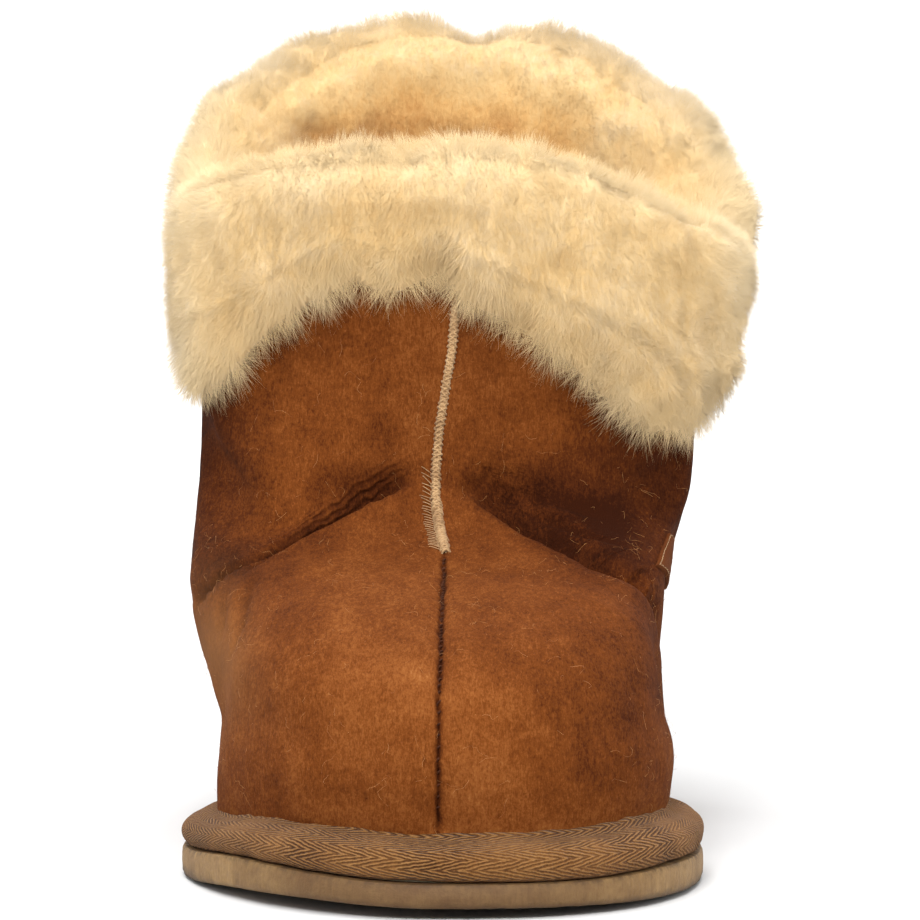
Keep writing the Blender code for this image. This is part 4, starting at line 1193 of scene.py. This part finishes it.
def thread_material(name, dark, light, sheen):
    """Twisted thread, darker between its fibres."""
    made, shader, wire, place = new_material(name, roughness=0.85, sheen=sheen, specular=0.2)
    fibres = grain(wire, place, 2400, 3, 0.7)
    shade = grain(wire, place, 260, 3)
    put((0.5 * fibres + 0.5 * shade).between(0.3, 0.7).blend(dark, light), shader, "Base Color")
    put(bump(fibres, 0.6, 0.0002), shader, "Normal")
    return made


def overcast(spots, heading, facing, seeds):
    """Two rows of loops over a join, slanting against each other."""
    return [stitched("loops", spots + facing * 0.05, facing, np.cross(heading, facing) + slant * heading,
                     cream_thread, thickness=0.52, width=2.3, height=0.85, uneven=0.22, seed=seed)
            for slant, seed in zip((0.75, -0.75), seeds)]


cream_thread = thread_material("cream_thread", rgb(122, 88, 54), rgb(184, 150, 108), 0.1)
dark_thread = thread_material("dark_thread", rgb(44, 20, 9), rgb(84, 44, 20), 0.0)
RIDGE_WIDTH, RIDGE_HEIGHT, RIDGE_LIFT = 1.7, 0.6, 0.2

# The front join, from its knot at the throat up to the cuff: x, z.
FRONT_JOIN = [(1.1, 64), (-0.3, 68.5), (-1.2, 74.3), (-1.2, 80.6), (-0.5, 89.2), (0.8, 97.8),
              (2.3, 106.4), (2.9, 115.1), (3.0, 122)]
join_x, join_z = np.array(FRONT_JOIN).T
front_rows = [k for k in range(len(hide_grid)) if 64 <= hide_grid[k, 0, 2] <= 121 and hide_heights[k] > 6.5]
front_line, front_facing = hide_grid[front_rows, 0], hide_normals[front_rows, 0]
front_line[:, 0] = np.interp(front_line[:, 2], join_z, join_x)
spots, heading, facing, part = walk(front_line, front_facing, 1.15)
pieces = [ridge("front_ridge", front_line + front_facing * RIDGE_LIFT, front_facing,
                RIDGE_WIDTH, RIDGE_HEIGHT)]
pieces += overcast(spots, heading, facing, (51, 55))
low = part < 0.45
fan = heading[low] * 0.8 - np.cross(heading, facing)[low]
pieces.append(stitched("front_tails", spots[low] + fan * 1.7 + facing[low] * 0.1, facing[low], fan,
                       cream_thread, thickness=0.17, width=3.6, height=0.22, uneven=0.25, seed=52))
add_piece("overcast_front", joined("overcast_front", pieces), cream_thread, "thread", "front_seam")

back_rows = [k for k in range(len(hide_grid)) if 0.5 <= hide_heights[k] <= 11.6]
back_line, back_facing = hide_grid[back_rows, HALF], hide_normals[back_rows, HALF]
pieces = [ridge("back_ridge", back_line[::3] + back_facing[::3] * RIDGE_LIFT, back_facing[::3],
                RIDGE_WIDTH, RIDGE_HEIGHT)]
pieces += overcast(*walk(back_line, back_facing, 1.3)[:3], (53, 56))
add_piece("overcast_back", joined("overcast_back", pieces), cream_thread, "thread", "back_seam")

toe_rows = [k for k in range(len(hide_grid)) if 0.4 <= hide_heights[k] <= 7.3]
spots, heading, facing, _ = walk(hide_grid[toe_rows, 0], hide_normals[toe_rows, 0], 2.4)
toe_mesh = stitched("toe_stitches", spots + facing * 0.1, facing, np.cross(heading, facing) + 0.9 * heading,
                    dark_thread, thickness=0.35, width=1.2, height=0.35, uneven=0.3, seed=54)
add_piece("toe_stitches", toe_mesh, dark_thread, "thread")


# ---------------------------------------------------------------- side patch
# A small lozenge of plain brown leather on the inner quarter. It is laid on the hide and sewn
# down with one line of fine thread near its edge.

PATCH_MIDDLE = (54.0, 60.4)             # y, z
PATCH_LONG, PATCH_HIGH, PATCH_TILT = 25, 6.0, -0.02
PATCH_CORNERS = 56


def on_inner_wall(y, z):
    """The hide's inner side at a place along the foot and a height: point and outward normal."""
    spots, facings = [], []
    for aside, up in ((0, 0), (-0.8, 0), (0.8, 0), (0, -0.8), (0, 0.8)):
        _, spot, facing, _ = hide_upper.ray_cast(Vector((100, y + aside, z + up)) * MM, Vector((-1, 0, 0)))
        spots.append(spot.x / MM)
        facings.append(facing)
    return np.array([np.mean(spots), y, z]), np.array(sum(facings, Vector()).normalized())


def patch_ring(size, lifted):
    """The lozenge's outline at a size, lifted off the hide: its points, and the way out at each."""
    points, facings = [], []
    for k in range(PATCH_CORNERS):
        turn = 2 * math.pi * k / PATCH_CORNERS
        c, s = math.cos(turn), math.sin(turn)
        along = math.copysign(abs(c) ** 2, c) * PATCH_LONG * size
        up = math.copysign(abs(s) ** 2, s) * PATCH_HIGH * size + PATCH_TILT * along
        point, out = on_inner_wall(PATCH_MIDDLE[0] + along, PATCH_MIDDLE[1] + up)
        points.append(point + out * lifted)
        facings.append(out)
    return np.array(points), np.array(facings)


profile = [(0.995, -0.5), (1.0, 0.35), (0.99, 0.7), (0.97, 0.85), (0.94, 0.7), (0.91, 0.85), (0.86, 0.95),
           (0.5, 1.0), (0.2, 1.0), (0.02, 1.0)]
patch_rings = np.array([patch_ring(size, lifted)[0] for size, lifted in profile])
patch_mesh = grid_mesh("leather_patch", [patch_rings], smooth_angle=70)
bm = bmesh.new()
bm.from_mesh(patch_mesh)
bm.verts.ensure_lookup_table()
bm.faces.new(bm.verts[-PATCH_CORNERS:])
bm.faces.new(bm.verts[:PATCH_CORNERS][::-1])
bmesh.ops.recalc_face_normals(bm, faces=bm.faces)
bm.to_mesh(patch_mesh)
bm.free()
patch_mesh.shade_smooth()
leather, shader, wire, place = new_material("patch_leather", specular=0.05)
pores = grain(wire, place, 1800, 4, 0.65)
cloud = grain(wire, place, 110, 4, 0.6)
put((0.6 * cloud + 0.4 * pores).blend(rgb(66, 29, 11), rgb(110, 60, 25)), shader, "Base Color")
put(bump(pores, 0.5, 0.0003), shader, "Normal")
add_piece("leather_patch", patch_mesh, leather, "patch_leather", "side_patch")

sewn_line, sewn_out = (np.vstack([row, row[:1]]) for row in patch_ring(0.94, 0.75))
spots, heading, facing, _ = walk(sewn_line, sewn_out, 1.9)
patch_sewing = stitched("patch_stitches", spots, facing, heading, cream_thread,
                        thickness=0.17, width=1.5, height=0.15, uneven=0.08, seed=61)
add_piece("patch_stitches", patch_sewing, cream_thread, "thread")


# ---------------------------------------------------------------- stray hairs
# Fine wool hairs that worked their way out of the cuff and cling to the suede's nap. They are
# curled, and a few millimetres long.

def hair_tree():
    """Geometry nodes that scatter short curled hairs on a surface."""
    ends, wire = node_group("stray_hairs", "Surface", Hairs=3e4, Length=0.003, Thickness=0.00008,
                            Curl=0.0012, Curl_Size=0.0016)
    points, facing = scattered(wire, ends["Surface"], ends["Hairs"], ends["Seed"])
    line = wire.add("GeometryNodeCurvePrimitiveLine", {}, {"Start": (-0.5, 0, 0), "End": (0.5, 0, 0)})
    line = wire.add("GeometryNodeResampleCurve", {}, {"Curve": line, "Count": 8})
    turn = aimed(wire, facing, any_vector(wire, ends["Seed"] + 1))
    long = ends["Length"] * any_number(wire, ends["Seed"] + 2, 0.35, 1.3)
    laid = wire.add("GeometryNodeInstanceOnPoints", {},
                    {"Points": points, "Instance": line, "Rotation": turn, "Scale": long})
    lines = wire.add("GeometryNodeRealizeInstances", {}, {"Geometry": laid})
    curled = wire.add("GeometryNodeSetPosition", {},
                      {"Geometry": lines, "Offset": swirl(wire, ends["Curl Size"], ends["Curl"])})
    return finished(thickened(curled, ends["Thickness"], 3), ends["Material"])


hair, shader, wire, place = new_material("stray_hair", roughness=0.8, specular=0.1)
put(grain(wire, place, 500, 2).between(0.35, 0.65).blend(rgb(122, 74, 36), rgb(184, 134, 84)),
    shader, "Base Color")
bare = hide_heights < 12.4
hair_ground = grid_mesh("hair_ground", [hide_grid[bare] + hide_normals[bare] * 0.12])
stray_hairs = grown("stray_hairs", hair_tree(), hair_ground, {
    "Hairs": 1.6e4, "Length": 0.0046, "Thickness": 0.000045, "Curl": 0.0016, "Curl Size": 0.0026,
    "Seed": 71, "Material": hair})
add_piece("stray_hairs", stray_hairs, hair, "suede")
